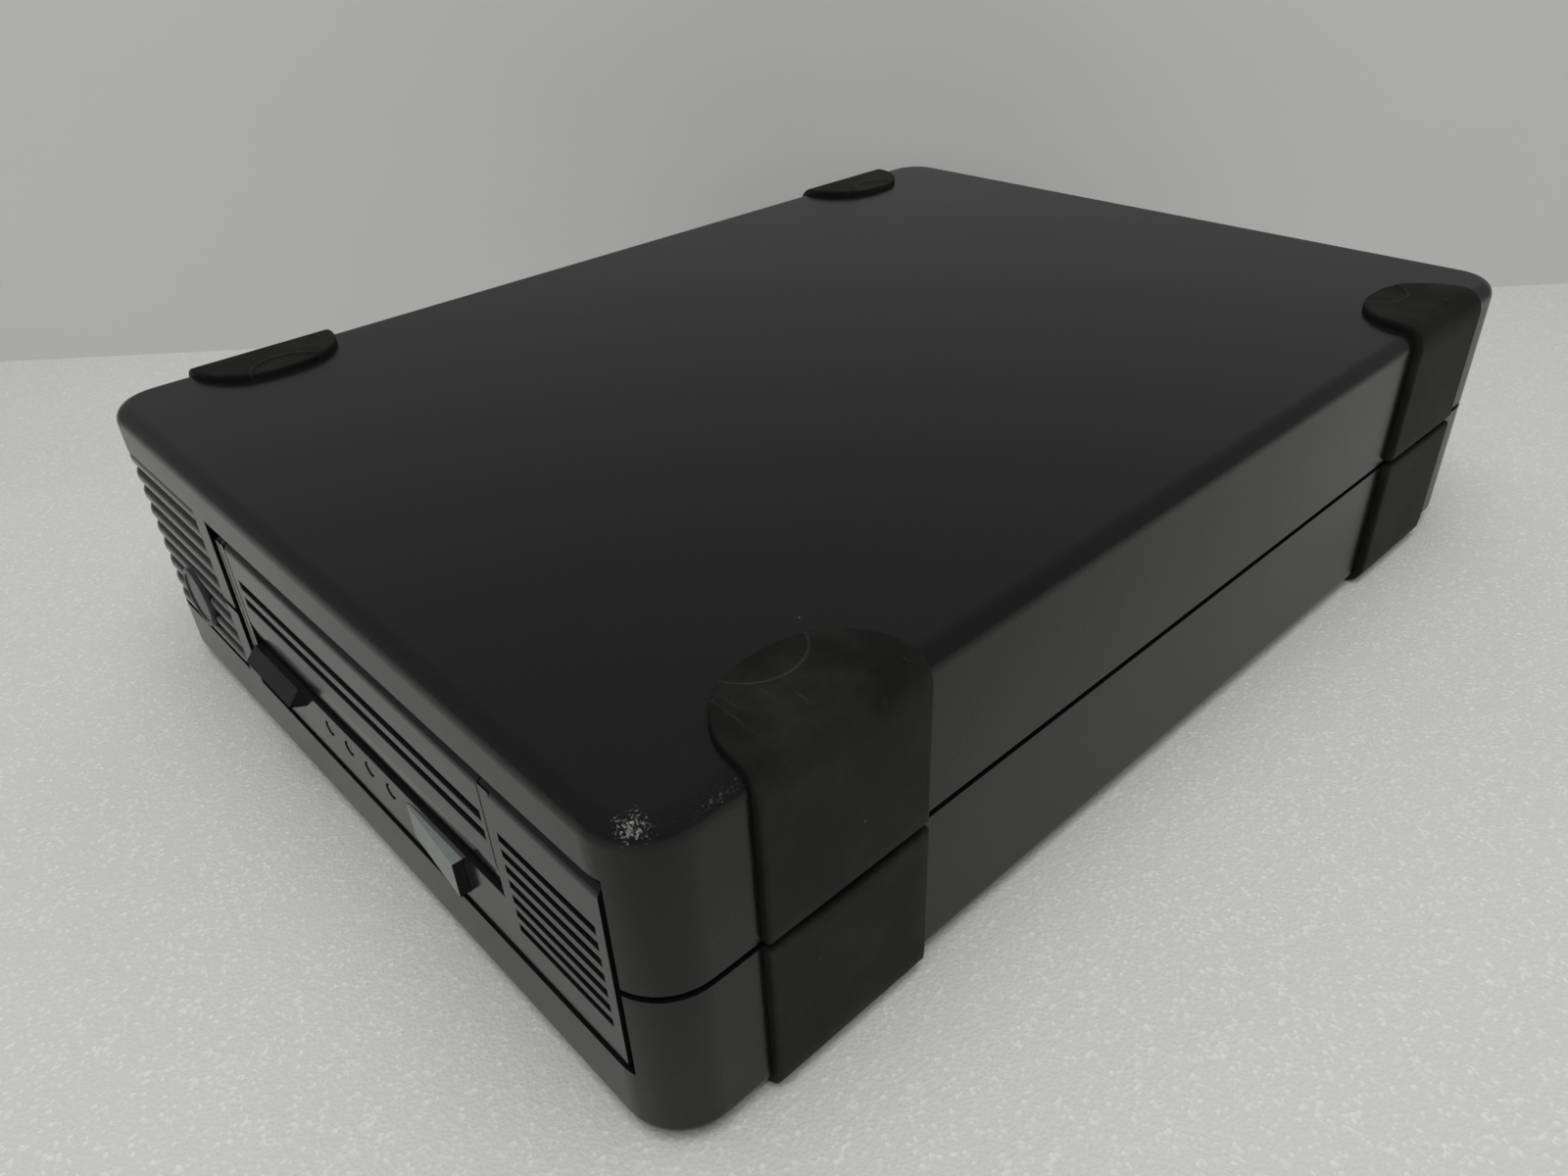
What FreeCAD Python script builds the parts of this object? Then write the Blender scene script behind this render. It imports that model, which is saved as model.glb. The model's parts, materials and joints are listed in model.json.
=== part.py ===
import FreeCAD, Part
import math
import os

# Desktop cartridge tape drive in a two-part plastic enclosure.
# Millimetres. X is to the right seen from the front, Y to the back, Z up.
# The origin is the middle of the footprint, on the surface the feet stand on.

# ---------------------------------------------------------------- enclosure
CASE_WIDTH = 220.0
CASE_HEIGHT = 71.5          # shells only, without the rubber feet
WALL = 2.6
CORNER_R = 12.0             # upright corners
TOP_EDGE_R = 6.5
BOTTOM_EDGE_R = 3.0
PARTING_HEIGHT = 36.3       # of the groove between the shells, above the case's bottom
PARTING_GAP = 1.5
LIP_CLEARANCE = 0.3         # between the lower shell's inner lip and the upper shell
LIP_THICKNESS = 1.5
LIP_RISE = 3.0
LIP_ROOT = 5.0

# ---------------------------------------------------------------- rubber corner pieces
RUBBER = 2.0                # thickness, so also the height of the feet
RUBBER_WIDTH = 38.0         # along Y
RUBBER_INSET = 22.0         # from the front or back face
TONGUE_REACH = 20.0         # over the top and under the bottom
TONGUE_R = 17.0             # nearly a half round

# ---------------------------------------------------------------- drive and its openings
DRIVE_WIDTH = 146.0
DRIVE_HEIGHT = 41.2
DRIVE_DEPTH = 205.0
DRIVE_SIDE_GAP = 1.8        # between the bezel and the sides of the opening
DRIVE_TOP_GAP = 3.2
DRIVE_BOTTOM_GAP = 0.8
DRIVE_RIGHT_MARGIN = 8.5    # from the case's right side to the opening
FRONT_STRIP = 15.4          # lower shell's strip under the opening
BEZEL_DEPTH = 9.0
SUPPLY_GAP = 8.0            # between the drive and the power supply behind it
SUPPLY_DEPTH = 50.0
SOCKET_ROOM = 29.2          # between the power supply and the rear panel
PANEL_THICKNESS = 1.2       # rear panel
CASE_DEPTH = BEZEL_DEPTH + DRIVE_DEPTH + SUPPLY_GAP + SUPPLY_DEPTH + SOCKET_ROOM + PANEL_THICKNESS + WALL

FIT = 0.3                   # clearance between parts that move past each other
SLIP = 0.1                  # clearance round pins and shafts
LIP_PROUD = 3.1             # of the bezel's guide lip, in front of the case
BEZEL_INSET = 0.5           # of the bezel's face, behind the case's front

# ---------------------------------------------------------------- rocker of the power switch
SWITCH_WIDTH = 13.0
SWITCH_HEIGHT = 19.0
SWITCH_WALL = 1.2
ROCKER_SINK = 1.0           # of its axis, behind the outside of the rear panel
ROCKER_FACE = 3.6           # from its axis to its face
ROCKER_HALF = SWITCH_HEIGHT / 2 - SWITCH_WALL - 0.5
ROCKER_TILT = 8.0
ROCKER_REACH = (ROCKER_FACE * math.cos(math.radians(ROCKER_TILT))
                + ROCKER_HALF * math.sin(math.radians(ROCKER_TILT)))
REAR_PROUD = ROCKER_REACH - ROCKER_SINK - WALL

# ---------------------------------------------------------------- positions worked out from these
FRONT = -(CASE_DEPTH + REAR_PROUD - LIP_PROUD) / 2
BACK = FRONT + CASE_DEPTH
SIDE = CASE_WIDTH / 2
FLOOR = RUBBER
ROOF = FLOOR + CASE_HEIGHT
PARTING = FLOOR + PARTING_HEIGHT
INNER_FLOOR = FLOOR + WALL
INNER_ROOF = ROOF - WALL

OPEN_X1 = SIDE - DRIVE_RIGHT_MARGIN
OPEN_X0 = OPEN_X1 - DRIVE_WIDTH - 2 * DRIVE_SIDE_GAP
OPEN_Z0 = FLOOR + FRONT_STRIP
OPEN_Z1 = OPEN_Z0 + DRIVE_BOTTOM_GAP + DRIVE_HEIGHT + DRIVE_TOP_GAP
DRIVE_X0 = OPEN_X0 + DRIVE_SIDE_GAP
DRIVE_X1 = OPEN_X1 - DRIVE_SIDE_GAP
DRIVE_Z0 = OPEN_Z0 + DRIVE_BOTTOM_GAP
DRIVE_Z1 = DRIVE_Z0 + DRIVE_HEIGHT
DRIVE_MID_X = (DRIVE_X0 + DRIVE_X1) / 2

# ---------------------------------------------------------------- bezel, door and button
BEZEL_FACE = FRONT + BEZEL_INSET
BEZEL_WALL = 2.5
BEZEL_RIM = 1.6
BEZEL_TOP_R = 2.3
BEZEL_BACK = FRONT + BEZEL_DEPTH
BAND_TOP = DRIVE_Z0 + 13.5  # top of the band that holds the lights and the button
LEFT_CHEEK = 4.3            # left of the cartridge mouth
RIGHT_CHEEK = 3.2           # between the mouth and the vent
RIGHT_PART = 33.3           # right of the mouth, with the vent
SLOT_WIDTH = DRIVE_WIDTH - LEFT_CHEEK - RIGHT_PART
SLOT_X0 = DRIVE_X0 + LEFT_CHEEK
SLOT_X1 = SLOT_X0 + SLOT_WIDTH
DOOR_SIDE_FIT = 0.4
DOOR_BOTTOM_FIT = 0.6
DOOR_WALL = 2.2
DOOR_FOOT = 1.6             # thickness at the door's lower end
DOOR_PIN_R = 0.9
DOOR_BARREL_R = 1.9
DOOR_PIN_Y = BEZEL_FACE + DOOR_BARREL_R
DOOR_PIN_Z = DRIVE_Z1 - 2.2
DOOR_PIN_INSERT = 2.6       # how far the pin goes into the bezel at each end
DOOR_SAG = 0.9              # how far the cove's middle stands forward of its chord
DOOR_GROOVE = 2.2           # height of each long groove
DOOR_GROOVE_DEPTH = 1.1
DOOR_GROOVE_START = 3.4     # from the cove's top to the first groove
DOOR_GROOVE_PITCH = 4.4
DOOR_GROOVE_LEFT = 3.0
DOOR_GROOVE_RIGHT = 1.6
COVE_DEPTH = 3.0
COVE_HEIGHT = 8.5
EDGE_GROOVE_INSET = 1.7     # thin groove down the bezel's left edge
EDGE_GROOVE = 0.6
EDGE_GROOVE_DEPTH = 0.8
LIP_WIDTH = 24.0            # sloping guide lip on the band
LIP_START = 1.2             # of its slope, above the band's top
LIP_TIP_DROP = 3.2          # of its tip, below the band's top
LIP_TIP = 0.5               # flat at the tip
LIP_FOOT_DROP = 5.0
BUTTON_INSET = 72.2         # from the mouth's left end
BUTTON_WIDTH = 20.6
BUTTON_HEIGHT = 8.6
BUTTON_X0 = SLOT_X0 + BUTTON_INSET
BUTTON_X1 = BUTTON_X0 + BUTTON_WIDTH
BUTTON_Z0 = DRIVE_Z0 + 2.7
BUTTON_Z1 = BUTTON_Z0 + BUTTON_HEIGHT
BUTTON_PROUD_LEFT = 0.4
BUTTON_PROUD_RIGHT = 2.2
BUTTON_TRAVEL = 1.0
BUTTON_FLANGE = 1.2
BUTTON_FLANGE_LAP = 1.0     # of the flange behind the bezel, at each side
BUTTON_FLANGE_BELOW = 0.8
BUTTON_FLANGE_ABOVE = 0.2
BUTTON_FLANGE_FRONT = BEZEL_FACE + BEZEL_WALL + 0.02
LIGHT_COUNT = 4
LIGHT_PITCH = 9.3
LIGHT_R = 1.8
LIGHT_X0 = SLOT_X0 + 36.0
LIGHT_Z = BAND_TOP - 4.4
BOARD_FRONT = BEZEL_BACK - 1.6
BOARD_THICKNESS = 1.6
BOARD_LEFT = 60.0           # of the front board, left of the button
BOARD_RIGHT = 8.0
EJECT_SWITCH_HALF = 3.0
PLUNGER_R = 1.7
PLUNGER = 0.6               # length of the switch's plunger
VENT_COUNT = 7
VENT_PITCH = 3.65
VENT_SLOT = 2.0
VENT_Z0 = DRIVE_Z0 + 7.6
VENT_MARGIN = 2.4
VENT_START = 0.1            # from the right cheek to the slots

# ---------------------------------------------------------------- grille insert
GRILLE_X1 = OPEN_X0 - 7.2
GRILLE_BLADES = 9
GRILLE_GAP = 0.9            # air gap between blades
GRILLE_THICKNESS = 5.0
GRILLE_WRAP = CORNER_R + 2.5
GRILLE_NOSE = 1.7           # how far back the rounded nose reaches
GRILLE_FIT = 0.25
GRILLE_POST = 2.5
POST_COUNT = 4
POST_WIDTH = 3.5
POST_PITCH = (GRILLE_X1 + SIDE - CORNER_R) / (POST_COUNT - 1)
BADGE_R = 8.2
BADGE_Z = FLOOR + 25.8
BADGE_X = (GRILLE_X1 - SIDE + GRILLE_THICKNESS) / 2
BADGE_THICKNESS = 2.2
BADGE_RIM = 1.6             # width of the badge's sloping rim
BADGE_RISE = 0.9            # of its face in front of the case, and of its edge
BADGE_EDGE = 0.3

# ---------------------------------------------------------------- screws and posts
SCREW_R = 1.5
SCREW_HEAD_R = 2.7
SCREW_HEAD = 2.2
SCREW_SLIP = 0.05
SCREW_SIDE_COUNT = 8
SOCKET_R = 1.3
SOCKET_SIDE_COUNT = 6
SCREW_HOLE_R = (SCREW_R + SCREW_SLIP) / math.cos(math.pi / SCREW_SIDE_COUNT)
POST_R = 3.6
HEAD_RECESS = 3.0
SHELL_SCREW_LENGTH = 46.0

# ---------------------------------------------------------------- rear panel and its fittings
PANEL_HALF_WIDTH = SIDE - 14.0
PANEL_LAP = 2.0             # of the shells' rear walls over the panel
PANEL_OUT = BACK - WALL
PANEL_IN = PANEL_OUT - PANEL_THICKNESS
PANEL_Z0 = INNER_FLOOR + 0.5
PANEL_Z1 = ROOF - TOP_EDGE_R - 0.2
FAN_MARGIN = 1.7            # of the panel's height over the fan's
FAN_SIZE = PANEL_Z1 - PANEL_Z0 - FAN_MARGIN
FAN_DEPTH = 20.0
FAN_X = -SIDE + 48.0
FAN_Z = (PANEL_Z0 + PANEL_Z1) / 2
FAN_BORE_R = FAN_SIZE / 2 - 2.0
FAN_HUB_R = 14.0
FAN_BLADES = 7
FAN_SCREW_PITCH = FAN_SIZE - 10.0
FAN_STRUT = 2.4
FAN_SEAT = 3.0              # thickness of the motor seat and its struts
FAN_AXLE_R = 1.5
FAN_BLADE = 1.4
FAN_BLADE_PITCH = 40.0      # degrees, from the plane the rotor turns in
FAN_CORNER_R = 4.0
FAN_AXLE_INSET = 4.0        # of the axle's front end, behind the frame's front
FAN_AXLE_END = 2.0          # of its back end, in the seat
FAN_HUB_INSET = 1.0         # of the hub, behind the frame's front
FAN_TIP_GAP = 1.0           # between the blades and the bore
FAN_SCREW_HEAD = 1.8
GUARD_RINGS = 3
GUARD_PITCH = 8.0
GUARD_SLOT = 5.8
GUARD_SPOKE = 2.4
INLET_X = SIDE - 40.0
INLET_Z = FLOOR + 24.0
INLET_WIDTH = 27.0
INLET_HEIGHT = 19.6
INLET_DEPTH = 17.0
INLET_CAVITY = 13.5
INLET_WALL = 1.5
INLET_LAP = 2.2             # of its flange over the panel
INLET_BEVEL = 5.0
INLET_BLADE_PITCH = 7.0
INLET_BLADE_DROP = 1.0      # of the outer blades, below the socket's middle
INLET_BLADE_RISE = 3.0      # of the middle blade, above it
INLET_BLADE_HALF = 1.0      # half the thickness
INLET_BLADE_TALL = 2.0      # half the height
INLET_BLADE_TAIL = 5.0      # behind the socket's body, for the wires
SWITCH_X = INLET_X - 34.0
SWITCH_Z = INLET_Z
SWITCH_DEPTH = 15.0
ROCKER_Y = PANEL_OUT - ROCKER_SINK
FLANGE = 2.0
PLUG_X = FAN_X + 54.0
PLUG_Z = FLOOR + 24.0
PLUG_WIDTH = 17.5
PLUG_HEIGHT = 9.0
PLUG_DEPTH = 20.0
PLUG_WALL = 0.9
PLUG_LAP = 1.4              # of its lip over the panel
PLUG_LIP = 0.8
PLUG_PROUD = 1.2
PLUG_BOTTOM = 2.0           # thickness of the port's closed end
PLUG_TONGUE_INSET = 8.0     # of the contact tongue, inside the port's mouth
PLUG_TONGUE = 1.0
SWITCH_LAP = 1.5
SWITCH_WELL = 9.0
ROCKER_PIN_R = 1.0
ROCKER_PIN_SLIP = 0.05
ROCKER_SIDE_GAP = 0.3
ROCKER_DIP = 1.2            # of the face's middle, below its ends
ROCKER_KEEL = 3.0           # below the axis, in the middle
ROCKER_HEEL = 0.5           # below the axis, at the ends

# ---------------------------------------------------------------- inside the drive
SHEET = 1.2
CHASSIS_Y0 = BEZEL_BACK
CHASSIS_Y1 = FRONT + BEZEL_DEPTH + DRIVE_DEPTH
BAY_X = (SLOT_X0 + SLOT_X1) / 2
BAY_Y0 = CHASSIS_Y0 + 2.0
CARRIER_WIDTH = SLOT_WIDTH + 2.0
CARRIER_DEPTH = 92.0
CARRIER_HEIGHT = 24.5
CARRIER_LIP = 8.0
CARRIER_SHEET = 0.8
CARRIER_STOP = 9.0          # height of the stop at the carrier's back
DOOR_ROOM = 18.0            # length of the carrier left without lips, for the door's swing
GUIDE_INSET = 20.0
GUIDE_WIDTH = 8.0
CARRIER_FLOOR = BAND_TOP - 1.6
SPINDLE_R = 20.0
SPINDLE_SEAT = 5.0          # half the width of the square seat it turns on
SPINDLE_LIFT = 1.0
SPINDLE_AXLE_R = 2.0
SPINDLE_DISC = 2.2
SPINDLE_TEETH = 8
SPINDLE_TOOTH = 1.2         # height of a tooth
SPINDLE_TOOTH_IN = 7.0      # from the disc's edge to the tooth's inner end
SPINDLE_TOOTH_OUT = 3.0
SPINDLE_TOOTH_HALF = 2.0
SPINDLE_Y = BAY_Y0 + 52.0
REEL_R = 42.0
REEL_HUB_R = 22.0
REEL_Y = CHASSIS_Y1 - REEL_R - 6.0
REEL_THICKNESS = 16.0
REEL_FLANGE = 1.2
REEL_SEAT = 7.0
REEL_LIFT = 3.0
REEL_AXLE_R = 3.0
ROLLER_R = 5.0
ROLLER_HEIGHT = 14.0
PATH_X = DRIVE_X1 - 17.0
PATH_BOW = 4.0              # of the inner rollers and the head, to the right of the outer rollers
PATH_SHIFT = 12.0           # of the head, behind the middle between spindle and reel
ROLLER_PITCH = 18.0
HEAD_TRAVEL = 1.5
HEAD_SLIDE = 8.0
HEAD_HEIGHT = 13.0
HEAD_POST = 24.0
HEAD_NOSE = 3.0             # reach of the nose in front of the slide
HEAD_NOSE_STEP = 1.6
HEAD_NOSE_HALF = 2.2
DRIVE_BOARD_LEFT = 30.0
DRIVE_BOARD_RIGHT = 8.0
CHIP = 14.0
CHIP_INSET = 50.0
CHIP_RISE = 12.0
CHIP_THICKNESS = 1.7
AXLE_R = 1.5                # of the rollers and the head's post


def vec(x, y, z):
    return FreeCAD.Vector(x, y, z)


X_AXIS = vec(1, 0, 0)
Y_AXIS = vec(0, 1, 0)
Z_AXIS = vec(0, 0, 1)


def box(x0, x1, y0, y1, z0, z1):
    return Part.makeBox(x1 - x0, y1 - y0, z1 - z0, vec(x0, y0, z0))


def rod(radius, x, y, z, length, axis):
    return Part.makeCylinder(radius, length, vec(x, y, z), axis)


def joined(first, *others):
    return first.fuse(list(others)).removeSplitter()


def less(base, *tools):
    return base.cut(list(tools))


def rounded_block(x0, x1, y0, y1, z0, z1, radius):
    """Block with rounded upright edges."""
    block = box(x0, x1, y0, y1, z0, z1)
    upright = [e for e in block.Edges if abs(e.Vertexes[0].Z - e.Vertexes[1].Z) > 1e-6]
    return block.makeFillet(radius, upright)


def closed_face(points):
    """Flat face inside a polygon."""
    return Part.Face(Part.makePolygon(points + points[:1]))


def rounded_plate(x0, x1, y0, y1, z0, z1, radius):
    """Block with its edges along Y rounded."""
    block = box(x0, x1, y0, y1, z0, z1)
    along = [e for e in block.Edges if abs(e.Vertexes[0].Y - e.Vertexes[1].Y) > 1e-6]
    return block.makeFillet(radius, along)


def many_sided(radius, foot, axis, length, side_count):
    """Rod with flats in place of its round, for what repeats and is hardly seen."""
    across = X_AXIS
    beside = axis.cross(across)
    corners = []
    for i in range(side_count):
        angle = 2 * math.pi * i / side_count
        corners.append(foot + across * (radius * math.cos(angle)) + beside * (radius * math.sin(angle)))
    return closed_face(corners).extrude(axis * length)


def screw_hole(x, y, z, length, axis):
    """Clearance hole for a screw's shank."""
    return many_sided(SCREW_HOLE_R, vec(x, y, z), axis, length, SCREW_SIDE_COUNT)


def prism(points, axis, length):
    """Straight-sided polygon, carried along an axis."""
    return closed_face([vec(*p) for p in points]).extrude(axis * length)


def turned(outline, x, y):
    """Outline of (radius, height) points, turned round an upright axis."""
    return closed_face([vec(x + r, y, z) for r, z in outline]).revolve(vec(x, y, 0), Z_AXIS, 360)


def edges_at(shape, z):
    """Edges that lie wholly at one height."""
    return [e for e in shape.Edges if all(abs(v.Z - z) < 1e-6 for v in e.Vertexes)
            and abs(e.BoundBox.ZLength) < 1e-6]


def case_form(inset, chamfered=False):
    """The enclosure's outer form, taken in by an inset on every side; its hollow has chamfered edges."""
    z0 = FLOOR + inset
    z1 = ROOF - inset
    form = rounded_block(-SIDE + inset, SIDE - inset, FRONT + inset, BACK - inset, z0, z1, CORNER_R - inset)
    if chamfered:
        return form.makeChamfer(TOP_EDGE_R - inset, edges_at(form, z1))
    form = form.makeFillet(TOP_EDGE_R, edges_at(form, z1))
    return form.makeFillet(BOTTOM_EDGE_R, edges_at(form, z0))


def case_ring(inset, thickness, z0, z1):
    """Upright band that follows the inside of the case wall."""
    outer = rounded_block(-SIDE + inset, SIDE - inset, FRONT + inset, BACK - inset, z0, z1, CORNER_R - inset)
    inner_inset = inset + thickness
    inner = rounded_block(-SIDE + inner_inset, SIDE - inner_inset, FRONT + inner_inset, BACK - inner_inset,
                          z0 - 1, z1 + 1, CORNER_R - inner_inset)
    return less(outer, inner)


def shell_openings():
    """Drive opening, grille window and rear window, through both shells."""
    drive = box(OPEN_X0, OPEN_X1, FRONT - 1, FRONT + 14, OPEN_Z0, OPEN_Z1)
    grille = box(-SIDE - 1, GRILLE_X1, FRONT - 1, FRONT + GRILLE_WRAP, OPEN_Z0, OPEN_Z1)
    rear = box(-PANEL_HALF_WIDTH + PANEL_LAP, PANEL_HALF_WIDTH - PANEL_LAP, BACK - 8, BACK + 1,
               PANEL_Z0 + PANEL_LAP, PANEL_Z1 - PANEL_LAP)
    panel_room = box(-PANEL_HALF_WIDTH - FIT, PANEL_HALF_WIDTH + FIT, PANEL_IN - FAN_DEPTH, PANEL_OUT,
                     PANEL_Z0, PANEL_Z1 + FIT)
    return [drive, grille, rear, panel_room]


SHELL_SCREW_X = SIDE - 6.0
SHELL_SCREW_INSET = RUBBER_INSET + RUBBER_WIDTH / 2     # from the front or back, under the rubber feet
SHELL_SCREWS = [(side * SHELL_SCREW_X, y)
                for y in (FRONT + SHELL_SCREW_INSET, BACK - SHELL_SCREW_INSET) for side in (-1, 1)]
DRIVE_SCREW_INSET = 12.0
DRIVE_SCREW_START = 45.0
DRIVE_SCREW_END = 20.0
DRIVE_SCREWS = [(x, y) for y in (CHASSIS_Y0 + DRIVE_SCREW_START, CHASSIS_Y1 - DRIVE_SCREW_END)
                for x in (DRIVE_X0 + DRIVE_SCREW_INSET, DRIVE_X1 - DRIVE_SCREW_INSET)]
DRIVE_HEAD_SEAT = DRIVE_Z0 - 6.0
RAIL_HALF = 4.6             # half the width of the rails the drive stands on
RAIL_START = 20.0
RAIL_END = 10.0
ROOF_RIB = 2.0              # ribs under the roof that hold the drive down
ROOF_RIB_INSET = 8.0
ROOF_RIB_PLACE = 50.0
WELD = 0.4                  # overlap of features that are moulded in one


def pillar(x, y, half, z0, z1):
    """Square post."""
    return box(x - half, x + half, y - half, y + half, z0, z1)


def lower_shell():
    """Tray with an inner lip at the parting, screw posts and rails under the drive."""
    tray = less(case_form(0), case_form(WALL, True))
    keep = box(-SIDE - 1, SIDE + 1, FRONT - 1, BACK + 1, FLOOR - 1, PARTING - PARTING_GAP / 2)
    tray = tray.common(keep)
    lip_depth = LIP_CLEARANCE + LIP_THICKNESS
    root = case_ring(WALL - WELD, lip_depth + WELD, PARTING - LIP_ROOT, PARTING - PARTING_GAP / 2)
    lip = case_ring(WALL + LIP_CLEARANCE, LIP_THICKNESS, PARTING - LIP_ROOT, PARTING + LIP_RISE)
    foot = INNER_FLOOR - WELD
    rails = [box(x - RAIL_HALF, x + RAIL_HALF, CHASSIS_Y0 + RAIL_START, CHASSIS_Y1 - RAIL_END, foot, DRIVE_Z0)
             for x in (DRIVE_X0 + DRIVE_SCREW_INSET, DRIVE_X1 - DRIVE_SCREW_INSET)]
    posts = [pillar(x, y, POST_R, foot, PARTING) for x, y in SHELL_SCREWS]
    posts = posts + [pillar(x, y, POST_R, foot, PSU_Z) for x, y in PSU_POSTS]
    drills = []
    for x, y in SHELL_SCREWS:
        drills.append(screw_hole(x, y, FLOOR - 1, CASE_HEIGHT, Z_AXIS))
        drills.append(rod(SCREW_HEAD_R + FIT, x, y, FLOOR - 1, HEAD_RECESS + 1, Z_AXIS))
        drills.append(pillar(x, y, POST_R + LIP_CLEARANCE, PARTING, PARTING + LIP_RISE + 1))
    for x, y in DRIVE_SCREWS:
        drills.append(screw_hole(x, y, FLOOR - 1, CASE_HEIGHT, Z_AXIS))
        drills.append(rod(SCREW_HEAD_R + FIT, x, y, FLOOR - 1, DRIVE_HEAD_SEAT - FLOOR + 1, Z_AXIS))
    shell = joined(tray, root, lip, *rails, *posts)
    return less(shell, *drills, *shell_openings())


def upper_shell():
    """Cover with screw posts that come down on the lower shell's."""
    cover = less(case_form(0), case_form(WALL, True))
    keep = box(-SIDE - 1, SIDE + 1, FRONT - 1, BACK + 1, PARTING + PARTING_GAP / 2, ROOF + 1)
    cover = cover.common(keep)
    top = INNER_ROOF + WELD
    posts = [pillar(x, y, POST_R, PARTING, top) for x, y in SHELL_SCREWS]
    screw_room = SHELL_SCREW_LENGTH + FLOOR + HEAD_RECESS - PARTING + 1
    drills = [screw_hole(x, y, PARTING - 1, screw_room + 1, Z_AXIS) for x, y in SHELL_SCREWS]
    ribs = [box(DRIVE_X0 + ROOF_RIB_INSET, DRIVE_X1 - ROOF_RIB_INSET, y, y + ROOF_RIB, DRIVE_Z1 + FIT, top)
            for y in (CHASSIS_Y0 + ROOF_RIB_PLACE, CHASSIS_Y1 - ROOF_RIB_PLACE)]
    shell = joined(cover, *posts, *ribs)
    return less(shell, *drills, *shell_openings())


# ---------------------------------------------------------------- front of the enclosure
def corner_path_plate(outset, thickness, z0, z1):
    """Upright plate along the front, round the left corner and a little down the side."""
    inner_inset = outset + thickness
    outer = rounded_block(-SIDE + outset, SIDE, FRONT + outset, BACK, z0, z1, CORNER_R - outset)
    inner = rounded_block(-SIDE + inner_inset, SIDE, FRONT + inner_inset, BACK, z0, z1,
                          CORNER_R - inner_inset)
    reach = box(-SIDE - 1, GRILLE_X1 - GRILLE_FIT, FRONT - 1, FRONT + GRILLE_WRAP - GRILLE_FIT, z0, z1)
    return less(outer, inner).common(reach)


def nose_outline(z0, height):
    """Cross-section of a blade, as (depth behind the case's face, height): a round nose in short flats."""
    half = height / 2
    middle = z0 + half
    flat = half - GRILLE_NOSE
    outline = []
    for side, turns in ((-1, (90, 45, 0)), (1, (0, 45, 90))):
        for degrees in turns:
            angle = math.radians(degrees)
            depth = GRILLE_NOSE * (1 - math.cos(angle))
            outline.append((depth, middle + side * (flat + GRILLE_NOSE * math.sin(angle))))
    return [(GRILLE_THICKNESS, z0)] + outline + [(GRILLE_THICKNESS, z0 + height)]


def grille_blade(z0, height):
    """One blade: its section runs along the front, turns the corner and ends on the side."""
    outline = nose_outline(z0, height)
    centre = vec(-SIDE + CORNER_R, FRONT + CORNER_R, 0)
    front_face = closed_face([vec(centre.x, FRONT + depth, z) for depth, z in outline])
    side_face = closed_face([vec(-SIDE + depth, centre.y, z) for depth, z in outline])
    front = front_face.extrude(X_AXIS * (GRILLE_X1 - GRILLE_FIT - centre.x))
    corner = front_face.revolve(centre, Z_AXIS, -90)
    side = side_face.extrude(Y_AXIS * (GRILLE_WRAP - GRILLE_FIT - CORNER_R))
    return joined(front, corner, side)


def front_grille():
    """Nine blades on upright posts behind them, with a seat for the badge."""
    height = OPEN_Z1 - OPEN_Z0
    pitch = height / GRILLE_BLADES
    blades = [grille_blade(OPEN_Z0 + i * pitch + GRILLE_GAP / 2, pitch - GRILLE_GAP)
              for i in range(GRILLE_BLADES)]
    backing = corner_path_plate(GRILLE_THICKNESS - 2, GRILLE_POST, OPEN_Z0, OPEN_Z1)
    reach_y = FRONT + GRILLE_WRAP
    posts = []
    for i in range(POST_COUNT):
        right = GRILLE_X1 - i * POST_PITCH
        posts.append(backing.common(box(right - POST_WIDTH, right, FRONT, reach_y, OPEN_Z0, OPEN_Z1)))
    seat = rod(BADGE_R + SLIP, BADGE_X, FRONT - 1, BADGE_Z, BADGE_THICKNESS, Y_AXIS)
    return less(joined(blades[0], *blades[1:], *posts), seat)


def grille_badge():
    """Blank round badge, let into the blades, with a sloping rim."""
    front = FRONT - BADGE_RISE
    back = FRONT - 1 + BADGE_THICKNESS
    outline = [(0, front), (BADGE_R - BADGE_RIM, front), (BADGE_R, FRONT - BADGE_EDGE), (BADGE_R, back),
               (0, back)]
    face = closed_face([vec(BADGE_X + r, y, BADGE_Z) for r, y in outline])
    return face.revolve(vec(BADGE_X, 0, BADGE_Z), Y_AXIS, 360)


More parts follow.
